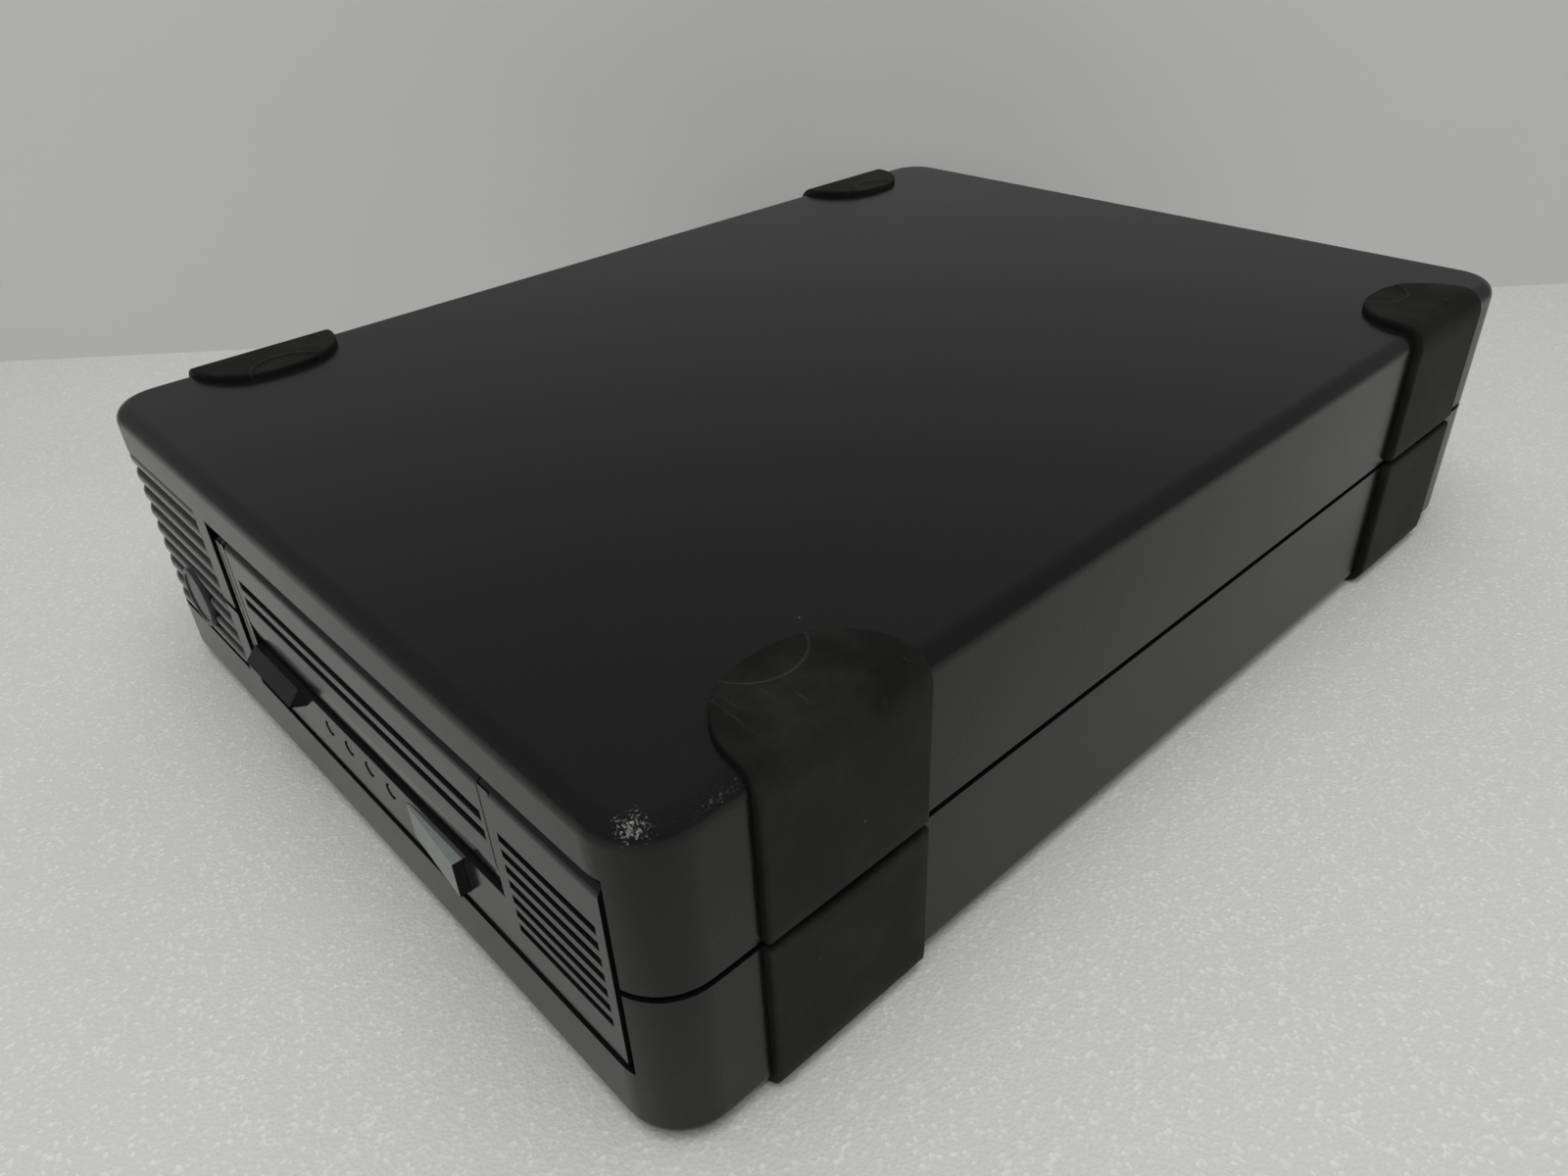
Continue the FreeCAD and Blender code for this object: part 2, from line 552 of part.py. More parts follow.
def drive_bezel():
    """Hollow moulded front of the drive with its mouth, lights, button hole, vent and guide lip."""
    outer = box(DRIVE_X0, DRIVE_X1, BEZEL_FACE, BEZEL_BACK, DRIVE_Z0, DRIVE_Z1)
    top = [e for e in edges_at(outer, DRIVE_Z1) if e.BoundBox.YMax < BEZEL_FACE + SLIP]
    outer = outer.makeFillet(BEZEL_TOP_R, top)
    wall_back = BEZEL_FACE + BEZEL_WALL
    hollow = box(DRIVE_X0 + BEZEL_RIM, DRIVE_X1 - BEZEL_RIM, wall_back, BEZEL_BACK + 1,
                 DRIVE_Z0 + BEZEL_RIM, DRIVE_Z1 - BEZEL_RIM)
    shelf = box(DRIVE_X0, SLOT_X1 + BEZEL_RIM, BEZEL_FACE, BEZEL_BACK, BAND_TOP - BEZEL_RIM, BAND_TOP)
    left_cheek = box(DRIVE_X0, SLOT_X0, BEZEL_FACE, BEZEL_BACK, DRIVE_Z0, DRIVE_Z1 - 1)
    right_cheek = box(SLOT_X1, SLOT_X1 + RIGHT_CHEEK, BEZEL_FACE, BEZEL_BACK, DRIVE_Z0, DRIVE_Z1 - 1)
    body = joined(less(outer, hollow), shelf, left_cheek, right_cheek, guide_lip())
    mouth = box(SLOT_X0, SLOT_X1, BEZEL_FACE - 1, BEZEL_BACK + 1, BAND_TOP, DRIVE_Z1 - BEZEL_RIM)
    door_top = box(SLOT_X0, SLOT_X1, BEZEL_FACE - 1, DOOR_PIN_Y + DOOR_BARREL_R + FIT, BAND_TOP, DRIVE_Z1 + 1)
    pin_hole = rod(DOOR_PIN_R, SLOT_X0 - DOOR_PIN_INSERT, DOOR_PIN_Y, DOOR_PIN_Z,
                   SLOT_WIDTH + 2 * DOOR_PIN_INSERT, X_AXIS)
    button_hole = box(BUTTON_X0 - FIT, BUTTON_X1 + FIT, BEZEL_FACE - 1, wall_back + 1,
                      BUTTON_Z0 - FIT, BUTTON_Z1 + FIT)
    tools = [mouth, door_top, pin_hole, button_hole]
    for i in range(LIGHT_COUNT):
        x = LIGHT_X0 + i * LIGHT_PITCH
        tools.append(rod(LIGHT_R + SLIP, x, BEZEL_FACE - 1, LIGHT_Z, BEZEL_WALL + 2, Y_AXIS))
    for i in range(VENT_COUNT):
        z = VENT_Z0 + i * VENT_PITCH
        tools.append(box(SLOT_X1 + RIGHT_CHEEK + VENT_START, DRIVE_X1 - VENT_MARGIN,
                         BEZEL_FACE - 1, wall_back + 1, z, z + VENT_SLOT))
    groove_x = DRIVE_X0 + EDGE_GROOVE_INSET
    groove = box(groove_x, groove_x + EDGE_GROOVE, BEZEL_FACE - 1, BEZEL_FACE + EDGE_GROOVE_DEPTH,
                 DRIVE_Z0 - 1, DRIVE_Z1 + 1)
    return less(body, *tools, groove)


def guide_lip():
    """Sloping lip at the left end of the band, which guides the cartridge in."""
    tip_y = FRONT - LIP_PROUD
    tip_z = BAND_TOP - LIP_TIP_DROP
    foot_z = BAND_TOP - LIP_FOOT_DROP
    inside = BEZEL_FACE + WELD
    outline = [(inside, BAND_TOP + LIP_START), (tip_y + LIP_TIP, tip_z + LIP_TIP), (tip_y, tip_z),
               (tip_y + LIP_TIP, tip_z - LIP_TIP), (BEZEL_FACE, foot_z), (inside, foot_z)]
    return prism([(SLOT_X0, y, z) for y, z in outline], X_AXIS, LIP_WIDTH)


def tape_door():
    """Flap with a hinge barrel along its top, two long grooves and a coved lower half."""
    x0 = SLOT_X0 + DOOR_SIDE_FIT
    width = SLOT_WIDTH - 2 * DOOR_SIDE_FIT
    bottom = BAND_TOP + DOOR_BOTTOM_FIT
    cove_top = bottom + COVE_HEIGHT
    face = [vec(x0, BEZEL_FACE, DOOR_PIN_Z), vec(x0, BEZEL_FACE, cove_top)]
    cove_mid = vec(x0, BEZEL_FACE + COVE_DEPTH / 2 - DOOR_SAG, (bottom + cove_top) / 2)
    cove_end = vec(x0, BEZEL_FACE + COVE_DEPTH, bottom)
    back_end = vec(x0, BEZEL_FACE + COVE_DEPTH + DOOR_FOOT, bottom)
    back_mid = vec(x0, BEZEL_FACE + COVE_DEPTH / 2 - DOOR_SAG + DOOR_WALL, (bottom + cove_top) / 2 + 0.5)
    back_top = vec(x0, BEZEL_FACE + DOOR_WALL, cove_top)
    back_hinge = vec(x0, BEZEL_FACE + DOOR_WALL, DOOR_PIN_Z)
    edges = [Part.makeLine(face[0], face[1]), Part.Arc(face[1], cove_mid, cove_end).toShape(),
             Part.makeLine(cove_end, back_end), Part.Arc(back_end, back_mid, back_top).toShape(),
             Part.makeLine(back_top, back_hinge), Part.makeLine(back_hinge, face[0])]
    plate = Part.Face(Part.Wire(edges)).extrude(X_AXIS * width)
    barrel = rod(DOOR_BARREL_R, x0, DOOR_PIN_Y, DOOR_PIN_Z, width, X_AXIS)
    grooves = []
    for i in range(2):
        z = cove_top + DOOR_GROOVE_START + i * DOOR_GROOVE_PITCH
        grooves.append(box(x0 + DOOR_GROOVE_LEFT, x0 + width - DOOR_GROOVE_RIGHT,
                           BEZEL_FACE - 1, BEZEL_FACE + DOOR_GROOVE_DEPTH, z, z + DOOR_GROOVE))
    bore = rod(DOOR_PIN_R + SLIP, x0 - 1, DOOR_PIN_Y, DOOR_PIN_Z, width + 2, X_AXIS)
    return less(joined(plate, barrel), *grooves, bore)


def door_pin():
    return rod(DOOR_PIN_R, SLOT_X0 - DOOR_PIN_INSERT, DOOR_PIN_Y, DOOR_PIN_Z,
               SLOT_WIDTH + 2 * DOOR_PIN_INSERT, X_AXIS)


def eject_button():
    """Wedge-faced key, proud at its right end, held behind the bezel by its flange."""
    key_back = BUTTON_FLANGE_FRONT + WELD
    plan = [(BUTTON_X0, BEZEL_FACE - BUTTON_PROUD_LEFT, BUTTON_Z0),
            (BUTTON_X1, BEZEL_FACE - BUTTON_PROUD_RIGHT, BUTTON_Z0),
            (BUTTON_X1, key_back, BUTTON_Z0), (BUTTON_X0, key_back, BUTTON_Z0)]
    key = prism(plan, Z_AXIS, BUTTON_HEIGHT)
    flange = box(BUTTON_X0 - BUTTON_FLANGE_LAP, BUTTON_X1 + BUTTON_FLANGE_LAP,
                 BUTTON_FLANGE_FRONT, BUTTON_FLANGE_FRONT + BUTTON_FLANGE,
                 BUTTON_Z0 - BUTTON_FLANGE_BELOW, BUTTON_Z1 + BUTTON_FLANGE_ABOVE)
    return joined(key, flange)


def front_board():
    """Circuit board behind the band, with the eject switch and its plunger."""
    board = box(BUTTON_X0 - BOARD_LEFT, BUTTON_X1 + BOARD_RIGHT, BOARD_FRONT, BOARD_FRONT + BOARD_THICKNESS,
                DRIVE_Z0 + BEZEL_RIM, BAND_TOP - BEZEL_RIM)
    x = (BUTTON_X0 + BUTTON_X1) / 2
    z = (BUTTON_Z0 + BUTTON_Z1) / 2
    half = EJECT_SWITCH_HALF
    plunger_tip = BUTTON_FLANGE_FRONT + BUTTON_FLANGE + BUTTON_TRAVEL + SLIP
    body = box(x - half, x + half, plunger_tip + PLUNGER - SLIP, BOARD_FRONT + SLIP, z - half, z + half)
    plunger = rod(PLUNGER_R, x, plunger_tip, z, PLUNGER, Y_AXIS)
    return joined(board, body, plunger)


def light_pipes():
    """Four indicator windows, standing on the board and reaching through the bezel."""
    return Part.makeCompound([rod(LIGHT_R, LIGHT_X0 + i * LIGHT_PITCH, BEZEL_FACE + SLIP, LIGHT_Z,
                                  BOARD_FRONT - BEZEL_FACE - SLIP, Y_AXIS) for i in range(LIGHT_COUNT)])


# ---------------------------------------------------------------- rubber corner pieces
def rubber_loop(y0):
    """Full wrap round the right side, before it is split at the parting."""
    y1 = y0 + RUBBER_WIDTH

    def outer_edge(block, height):
        """The block's right-hand edge along Y at one height."""
        return [e for e in block.Edges if e.BoundBox.YLength > RUBBER_WIDTH - 1 and e.BoundBox.XMin > 0
                and abs(e.BoundBox.Center.z - height) < SLIP and e.BoundBox.ZLength < SLIP]

    def skin(outset):
        block = box(-SIDE - outset, SIDE + outset, y0, y1, FLOOR - outset, ROOF + outset)
        block = block.makeFillet(TOP_EDGE_R + outset, outer_edge(block, ROOF + outset))
        return block.makeFillet(BOTTOM_EDGE_R + outset, outer_edge(block, FLOOR - outset))

    wrap = less(skin(RUBBER), skin(0))
    tongue_start = SIDE - TONGUE_REACH
    past_side = SIDE + TONGUE_REACH + TONGUE_R
    reach = rounded_block(tongue_start, past_side, y0, y1, FLOOR - 2 * RUBBER, ROOF + 2 * RUBBER, TONGUE_R)
    return wrap.common(reach)


def rubber_halves(y0, mirror):
    """Upper and lower half of one corner piece."""
    loop = rubber_loop(y0)
    if mirror:
        loop = loop.mirror(vec(0, 0, 0), X_AXIS)
    above = box(-SIDE - 9, SIDE + 9, y0 - 1, y0 + RUBBER_WIDTH + 1, PARTING + PARTING_GAP / 2, ROOF + 9)
    below = box(-SIDE - 9, SIDE + 9, y0 - 1, y0 + RUBBER_WIDTH + 1, FLOOR - 9, PARTING - PARTING_GAP / 2)
    return loop.common(above), loop.common(below)


# ---------------------------------------------------------------- rear
def finger_guard_slots():
    """Ring slots with four spokes, punched through the rear panel in front of the fan."""
    slots = []
    for i in range(GUARD_RINGS):
        outer_r = FAN_BORE_R - FAN_TIP_GAP - i * GUARD_PITCH
        slots.append(less(rod(outer_r, FAN_X, PANEL_IN - 1, FAN_Z, PANEL_THICKNESS + 2, Y_AXIS),
                          rod(outer_r - GUARD_SLOT, FAN_X, PANEL_IN - 1, FAN_Z, PANEL_THICKNESS + 2, Y_AXIS)))
    half = GUARD_SPOKE / 2
    spoke = box(FAN_X - FAN_SIZE, FAN_X + FAN_SIZE, PANEL_IN - 2, PANEL_OUT + 2, FAN_Z - half, FAN_Z + half)
    spokes = [spoke.copy().rotate(vec(FAN_X, 0, FAN_Z), Y_AXIS, turn) for turn in (45, 135)]
    return [less(slot, *spokes) for slot in slots]


def fan_screw_places():
    half = FAN_SCREW_PITCH / 2
    return [(FAN_X + sx * half, FAN_Z + sz * half) for sx in (-1, 1) for sz in (-1, 1)]


def rear_panel():
    """Punched sheet that fills the shells' rear window."""
    sheet = box(-PANEL_HALF_WIDTH, PANEL_HALF_WIDTH, PANEL_IN, PANEL_OUT, PANEL_Z0, PANEL_Z1)
    through0 = PANEL_IN - 1
    through1 = PANEL_OUT + 1
    holes = finger_guard_slots()
    for x, z in fan_screw_places():
        holes.append(screw_hole(x, through0, z, PANEL_THICKNESS + 2, Y_AXIS))
    for x, z, w, h in ((INLET_X, INLET_Z, INLET_WIDTH, INLET_HEIGHT),
                       (SWITCH_X, SWITCH_Z, SWITCH_WIDTH, SWITCH_HEIGHT),
                       (PLUG_X, PLUG_Z, PLUG_WIDTH, PLUG_HEIGHT)):
        half_w = w / 2 + SLIP
        half_h = h / 2 + SLIP
        holes.append(box(x - half_w, x + half_w, through0, through1, z - half_h, z + half_h))
    return less(sheet, *holes)


def power_inlet():
    """Moulded inlet: a flange outside the panel and a deep socket with three blades' seats."""
    x0 = INLET_X - INLET_WIDTH / 2
    x1 = INLET_X + INLET_WIDTH / 2
    z0 = INLET_Z - INLET_HEIGHT / 2
    z1 = INLET_Z + INLET_HEIGHT / 2
    front = PANEL_OUT + FLANGE
    flange = box(x0 - INLET_LAP, x1 + INLET_LAP, PANEL_OUT, front, z0 - INLET_LAP, z1 + INLET_LAP)
    shell = box(x0, x1, front - INLET_DEPTH, front, z0, z1)
    left = x0 + INLET_WALL
    right = x1 - INLET_WALL
    low = z0 + INLET_WALL
    high = z1 - INLET_WALL
    outline = [(left, low), (right, low), (right, high - INLET_BEVEL), (right - INLET_BEVEL, high),
               (left + INLET_BEVEL, high), (left, high - INLET_BEVEL)]
    cavity = prism([(x, front - INLET_CAVITY, z) for x, z in outline], Y_AXIS, INLET_CAVITY + 1)
    return less(joined(flange, shell), cavity, *inlet_blade_boxes())


def inlet_blade_boxes():
    """The three blades, two low ones with the third higher between them."""
    back = PANEL_OUT + FLANGE - INLET_DEPTH - INLET_BLADE_TAIL
    tip = PANEL_OUT - INLET_BLADE_HALF
    places = [(-INLET_BLADE_PITCH, -INLET_BLADE_DROP), (0, INLET_BLADE_RISE),
              (INLET_BLADE_PITCH, -INLET_BLADE_DROP)]
    return [box(INLET_X + x - INLET_BLADE_HALF, INLET_X + x + INLET_BLADE_HALF, back, tip,
                INLET_Z + z - INLET_BLADE_TALL, INLET_Z + z + INLET_BLADE_TALL) for x, z in places]


def inlet_blades():
    return Part.makeCompound(inlet_blade_boxes())


def switch_frame():
    """Snap-in frame round the rocker."""
    x0 = SWITCH_X - SWITCH_WIDTH / 2
    x1 = SWITCH_X + SWITCH_WIDTH / 2
    z0 = SWITCH_Z - SWITCH_HEIGHT / 2
    z1 = SWITCH_Z + SWITCH_HEIGHT / 2
    front = PANEL_OUT + FLANGE
    flange = box(x0 - SWITCH_LAP, x1 + SWITCH_LAP, PANEL_OUT, front, z0 - SWITCH_LAP, z1 + SWITCH_LAP)
    body = box(x0, x1, front - SWITCH_DEPTH, front, z0, z1)
    well = box(x0 + SWITCH_WALL, x1 - SWITCH_WALL, front - SWITCH_WELL, front + 1,
               z0 + SWITCH_WALL, z1 - SWITCH_WALL)
    hole_start = x0 + SWITCH_WALL / 3
    pin_hole = rod(ROCKER_PIN_R + ROCKER_PIN_SLIP, hole_start, ROCKER_Y, SWITCH_Z,
                   SWITCH_WIDTH - 2 * SWITCH_WALL / 3, X_AXIS)
    return less(joined(flange, body), well, pin_hole)


def switch_rocker():
    """Rocker resting with its lower end pressed in; its two faces meet at a shallow angle."""
    half = ROCKER_HALF
    face = ROCKER_Y + ROCKER_FACE
    heel = ROCKER_Y - ROCKER_HEEL
    x0 = SWITCH_X - SWITCH_WIDTH / 2 + SWITCH_WALL + ROCKER_SIDE_GAP
    width = 2 * (SWITCH_X - x0)
    outline = [(face, -half), (face - ROCKER_DIP, 0), (face, half), (heel, half), (ROCKER_Y - ROCKER_KEEL, 0),
               (heel, -half)]
    body = prism([(x0, y, SWITCH_Z + z) for y, z in outline], X_AXIS, width)
    pin_reach = 3 * ROCKER_SIDE_GAP
    pin = rod(ROCKER_PIN_R, x0 - pin_reach, ROCKER_Y, SWITCH_Z, width + 2 * pin_reach, X_AXIS)
    rocker = joined(body, pin)
    return rocker.rotate(vec(SWITCH_X, ROCKER_Y, SWITCH_Z), X_AXIS, ROCKER_TILT)


def data_connector():
    """Sheet-metal cage of the data port, open to the back, with its contact tongue deep inside."""
    x0 = PLUG_X - PLUG_WIDTH / 2
    x1 = PLUG_X + PLUG_WIDTH / 2
    z0 = PLUG_Z - PLUG_HEIGHT / 2
    z1 = PLUG_Z + PLUG_HEIGHT / 2
    front = PANEL_OUT + PLUG_PROUD
    bottom = front - PLUG_DEPTH + PLUG_BOTTOM
    cage = box(x0, x1, front - PLUG_DEPTH, front, z0, z1)
    lip = box(x0 - PLUG_LAP, x1 + PLUG_LAP, PANEL_OUT, PANEL_OUT + PLUG_LIP, z0 - PLUG_LAP, z1 + PLUG_LAP)
    cavity = box(x0 + PLUG_WALL, x1 - PLUG_WALL, bottom, front + 1, z0 + PLUG_WALL, z1 - PLUG_WALL)
    tongue = box(x0 + 2 * PLUG_WALL, x1 - 2 * PLUG_WALL, bottom - WELD, front - PLUG_TONGUE_INSET,
                 PLUG_Z - PLUG_TONGUE / 2, PLUG_Z + PLUG_TONGUE / 2)
    return joined(less(joined(cage, lip), cavity), tongue)


def fan_frame():
    """Square frame with a round bore and four struts that carry the motor seat."""
    back = PANEL_IN
    front = back - FAN_DEPTH
    half = FAN_SIZE / 2
    frame = rounded_plate(FAN_X - half, FAN_X + half, front, back, FAN_Z - half, FAN_Z + half, FAN_CORNER_R)
    frame = less(frame, rod(FAN_BORE_R, FAN_X, front - 1, FAN_Z, FAN_DEPTH + 2, Y_AXIS))
    seat = rod(FAN_HUB_R, FAN_X, back - FAN_SEAT, FAN_Z, FAN_SEAT, Y_AXIS)
    strut_base = box(FAN_X, FAN_X + FAN_BORE_R + WELD, back - FAN_SEAT, back,
                     FAN_Z - FAN_STRUT / 2, FAN_Z + FAN_STRUT / 2)
    struts = [strut_base.copy().rotate(vec(FAN_X, 0, FAN_Z), Y_AXIS, 45 + 90 * i) for i in range(4)]
    axle_length = FAN_DEPTH - FAN_AXLE_INSET - FAN_AXLE_END
    axle = rod(FAN_AXLE_R, FAN_X, front + FAN_AXLE_INSET, FAN_Z, axle_length, Y_AXIS)
    frame = joined(frame, seat, axle, *struts)
    drills = [screw_hole(x, front + SHEET, z, FAN_DEPTH, Y_AXIS) for x, z in fan_screw_places()]
    return less(frame, *drills)


def fan_rotor():
    """Hub with seven pitched blades, turning on the frame's axle."""
    front = PANEL_IN - FAN_DEPTH
    hub_front = front + FAN_HUB_INSET
    hub_back = PANEL_IN - FAN_SEAT - FIT - 2 * SLIP
    depth = hub_back - hub_front
    middle = (hub_front + hub_back) / 2
    hub = rod(FAN_HUB_R, FAN_X, hub_front, FAN_Z, depth, Y_AXIS)
    half_chord = (depth - 2 * FAN_BLADE) / 2 / math.sin(math.radians(FAN_BLADE_PITCH))
    half_arc = half_chord * math.cos(math.radians(FAN_BLADE_PITCH))
    tip = math.sqrt((FAN_BORE_R - FAN_TIP_GAP) ** 2 - half_arc ** 2)
    blade = box(FAN_X + FAN_HUB_R - 2 * FAN_BLADE, FAN_X + tip, middle - FAN_BLADE / 2,
                middle + FAN_BLADE / 2, FAN_Z - half_chord, FAN_Z + half_chord)
    blade = blade.rotate(vec(FAN_X, middle, FAN_Z), X_AXIS, FAN_BLADE_PITCH)
    blades = [blade.copy().rotate(vec(FAN_X, 0, FAN_Z), Y_AXIS, 360.0 * i / FAN_BLADES)
              for i in range(FAN_BLADES)]
    bore = rod(FAN_AXLE_R + SLIP, FAN_X, front + FAN_AXLE_INSET - 1, FAN_Z, FAN_DEPTH, Y_AXIS)
    return less(joined(hub, *blades), bore)


# ---------------------------------------------------------------- inside the drive
def carrier_guides():
    """Upright guides on both sides of the cartridge carrier, which slides up and down between them."""
    y0 = BAY_Y0 + GUIDE_INSET
    y1 = BAY_Y0 + CARRIER_DEPTH - GUIDE_INSET
    z0 = DRIVE_Z0 + SHEET - WELD
    z1 = DRIVE_Z1 - SHEET - FIT
    left_face = BAY_X - CARRIER_WIDTH / 2 - SLIP
    right_face = BAY_X + CARRIER_WIDTH / 2 + SLIP
    guides = [box(right_face, right_face + SHEET, y0, y1, z0, z1)]
    for y in (y0, y1 - GUIDE_WIDTH):
        guides.append(box(DRIVE_X0 + SHEET - WELD, left_face, y, y + GUIDE_WIDTH, z0, z1))
    return guides


def drive_chassis():
    """Folded tray with seats for the spindle and the reel and guides for the carrier."""
    tray = less(box(DRIVE_X0, DRIVE_X1, CHASSIS_Y0, CHASSIS_Y1, DRIVE_Z0, DRIVE_Z1 - SHEET),
                box(DRIVE_X0 + SHEET, DRIVE_X1 - SHEET, CHASSIS_Y0 - 1, CHASSIS_Y1 - SHEET,
                    DRIVE_Z0 + SHEET, DRIVE_Z1))
    floor = DRIVE_Z0 + SHEET
    spindle_seat = pillar(BAY_X, SPINDLE_Y, SPINDLE_SEAT, floor - WELD, floor + SPINDLE_LIFT)
    spindle_axle = rod(SPINDLE_AXLE_R, BAY_X, SPINDLE_Y, floor, SPINDLE_LIFT + 3, Z_AXIS)
    reel_seat = pillar(BAY_X, REEL_Y, REEL_SEAT, floor - WELD, floor + REEL_LIFT)
    reel_axle = rod(REEL_AXLE_R, BAY_X, REEL_Y, floor, REEL_LIFT + REEL_THICKNESS - 1, Z_AXIS)
    tray = joined(tray, spindle_seat, spindle_axle, reel_seat, reel_axle, *carrier_guides())
    drills = [screw_hole(x, y, DRIVE_Z0 - 1, SHEET + 2, Z_AXIS) for x, y in DRIVE_SCREWS]
    return less(tray, *drills)


def drive_cover():
    """Flat top cover, lying on the tray's walls."""
    return box(DRIVE_X0, DRIVE_X1, CHASSIS_Y0, CHASSIS_Y1, DRIVE_Z1 - SHEET, DRIVE_Z1)


def carrier_plate():
    """Floor of the cradle that takes the cartridge, with a hole for the spindle and a stop at its back."""
    x0 = BAY_X - CARRIER_WIDTH / 2
    x1 = BAY_X + CARRIER_WIDTH / 2
    y1 = BAY_Y0 + CARRIER_DEPTH
    z0 = CARRIER_FLOOR
    floor = box(x0, x1, BAY_Y0, y1, z0, z0 + CARRIER_SHEET)
    stop = box(x0 + GUIDE_INSET, x1 - GUIDE_INSET, y1 - CARRIER_SHEET, y1, z0, z0 + CARRIER_STOP)
    return less(joined(floor, stop), rod(SPINDLE_R + 3, BAY_X, SPINDLE_Y, z0 - 1, CARRIER_SHEET + 2, Z_AXIS))


def carrier_rail(side):
    """Upright wall of the cradle with a lip over the cartridge's edge."""
    y1 = BAY_Y0 + CARRIER_DEPTH
    z0 = CARRIER_FLOOR + CARRIER_SHEET
    z1 = CARRIER_FLOOR + CARRIER_HEIGHT
    wall = box(0, CARRIER_SHEET, BAY_Y0, y1, z0, z1)
    lip = box(0, CARRIER_LIP, BAY_Y0 + DOOR_ROOM, y1, z1 - CARRIER_SHEET, z1)
    rail = joined(wall, lip)
    if side > 0:
        rail = rail.mirror(vec(0, 0, 0), X_AXIS)
    rail.translate(vec(BAY_X + side * CARRIER_WIDTH / 2, 0, 0))
    return rail


def drive_spindle():
    """Toothed clutch that drives the reel in the cartridge."""
    base = DRIVE_Z0 + SHEET + SPINDLE_LIFT + SLIP
    top = base + SPINDLE_DISC
    bore = SPINDLE_AXLE_R + SLIP
    disc = turned([(bore, base), (SPINDLE_R, base), (SPINDLE_R, top), (bore, top)], BAY_X, SPINDLE_Y)
    edge = BAY_X + SPINDLE_R
    half = SPINDLE_TOOTH_HALF
    tooth = box(edge - SPINDLE_TOOTH_IN, edge - SPINDLE_TOOTH_OUT, SPINDLE_Y - half, SPINDLE_Y + half,
                top - WELD, top + SPINDLE_TOOTH)
    teeth = [tooth.copy().rotate(vec(BAY_X, SPINDLE_Y, 0), Z_AXIS, 360.0 * i / SPINDLE_TEETH)
             for i in range(SPINDLE_TEETH)]
    return joined(disc, *teeth)


def take_up_reel():
    """Two flanges on a hub, as one turned piece."""
    base = DRIVE_Z0 + SHEET + REEL_LIFT + SLIP
    top = base + REEL_THICKNESS
    bore = REEL_AXLE_R + SLIP
    outline = [(bore, base), (REEL_R, base), (REEL_R, base + REEL_FLANGE), (REEL_HUB_R, base + REEL_FLANGE),
               (REEL_HUB_R, top - REEL_FLANGE), (REEL_R, top - REEL_FLANGE), (REEL_R, top), (bore, top)]
    return turned(outline, BAY_X, REEL_Y)


def roller_places():
    """Two rollers each side of the head, along the right of the drive."""
    x, y = head_place()
    return [(PATH_X, y - 2 * ROLLER_PITCH), (x, y - ROLLER_PITCH), (x, y + ROLLER_PITCH),
            (PATH_X, y + 2 * ROLLER_PITCH)]


def head_place():
    return PATH_X + PATH_BOW, (SPINDLE_Y + REEL_Y) / 2 + PATH_SHIFT


PATH_PLATE_Z = DRIVE_Z0 + SHEET
PATH_PLATE = 3.0


def tape_path_plate():
    """Cast base of the tape path, with the axles of the rollers and the head's guide post."""
    places = roller_places()
    y0 = places[0][1] - 2 * ROLLER_R
    y1 = places[-1][1] + 2 * ROLLER_R
    top = PATH_PLATE_Z + PATH_PLATE
    plate = box(PATH_X - 2 * ROLLER_R + 1, DRIVE_X1 - SHEET - FIT, y0, y1, PATH_PLATE_Z, top)
    axles = [rod(AXLE_R, x, y, top - WELD, ROLLER_HEIGHT + WELD + 1, Z_AXIS) for x, y in places]
    hx, hy = head_place()
    post = rod(AXLE_R, hx + HEAD_SLIDE / 2, hy, top - WELD, HEAD_POST, Z_AXIS)
    return joined(plate, post, *axles)


def guide_roller(place):
    """Plain guide roller on its axle."""
    x, y = place
    base = PATH_PLATE_Z + PATH_PLATE + SLIP
    top = base + ROLLER_HEIGHT
    bore = AXLE_R + SLIP
    return turned([(bore, base), (ROLLER_R, base), (ROLLER_R, top), (bore, top)], x, y)


def head_block():
    """Recording head on a slide that steps up and down its guide post."""
    x, y = head_place()
    base = PATH_PLATE_Z + PATH_PLATE + HEAD_TRAVEL + FIT
    half = HEAD_SLIDE / 2 + 1
    slide = box(x, x + HEAD_SLIDE, y - half, y + half, base, base + HEAD_HEIGHT)
    outline = [(WELD, -HEAD_NOSE_HALF), (-HEAD_NOSE_STEP, -HEAD_NOSE_HALF), (-HEAD_NOSE, 0),
               (-HEAD_NOSE_STEP, HEAD_NOSE_HALF), (WELD, HEAD_NOSE_HALF)]
    nose = prism([(x + out, y + along, base) for out, along in outline], Z_AXIS, HEAD_HEIGHT)
    bore = rod(AXLE_R + SLIP, x + HEAD_SLIDE / 2, y, base - 1, HEAD_HEIGHT + 2, Z_AXIS)
    return less(joined(slide, nose), bore)


def drive_board():
    """Main circuit board behind the reel, standing on its own edge against the rear wall."""
    y1 = CHASSIS_Y1 - SHEET
    front = y1 - BOARD_THICKNESS
    board = box(DRIVE_X0 + DRIVE_BOARD_LEFT, DRIVE_X1 - DRIVE_BOARD_RIGHT, front, y1,
                DRIVE_Z0 + SHEET, DRIVE_Z1 - DRIVE_BOARD_RIGHT)
    x = DRIVE_X1 - CHIP_INSET
    z = DRIVE_Z0 + CHIP_RISE
    chip = box(x, x + CHIP, front - CHIP_THICKNESS, front + SLIP, z, z + CHIP)
    return joined(board, chip)


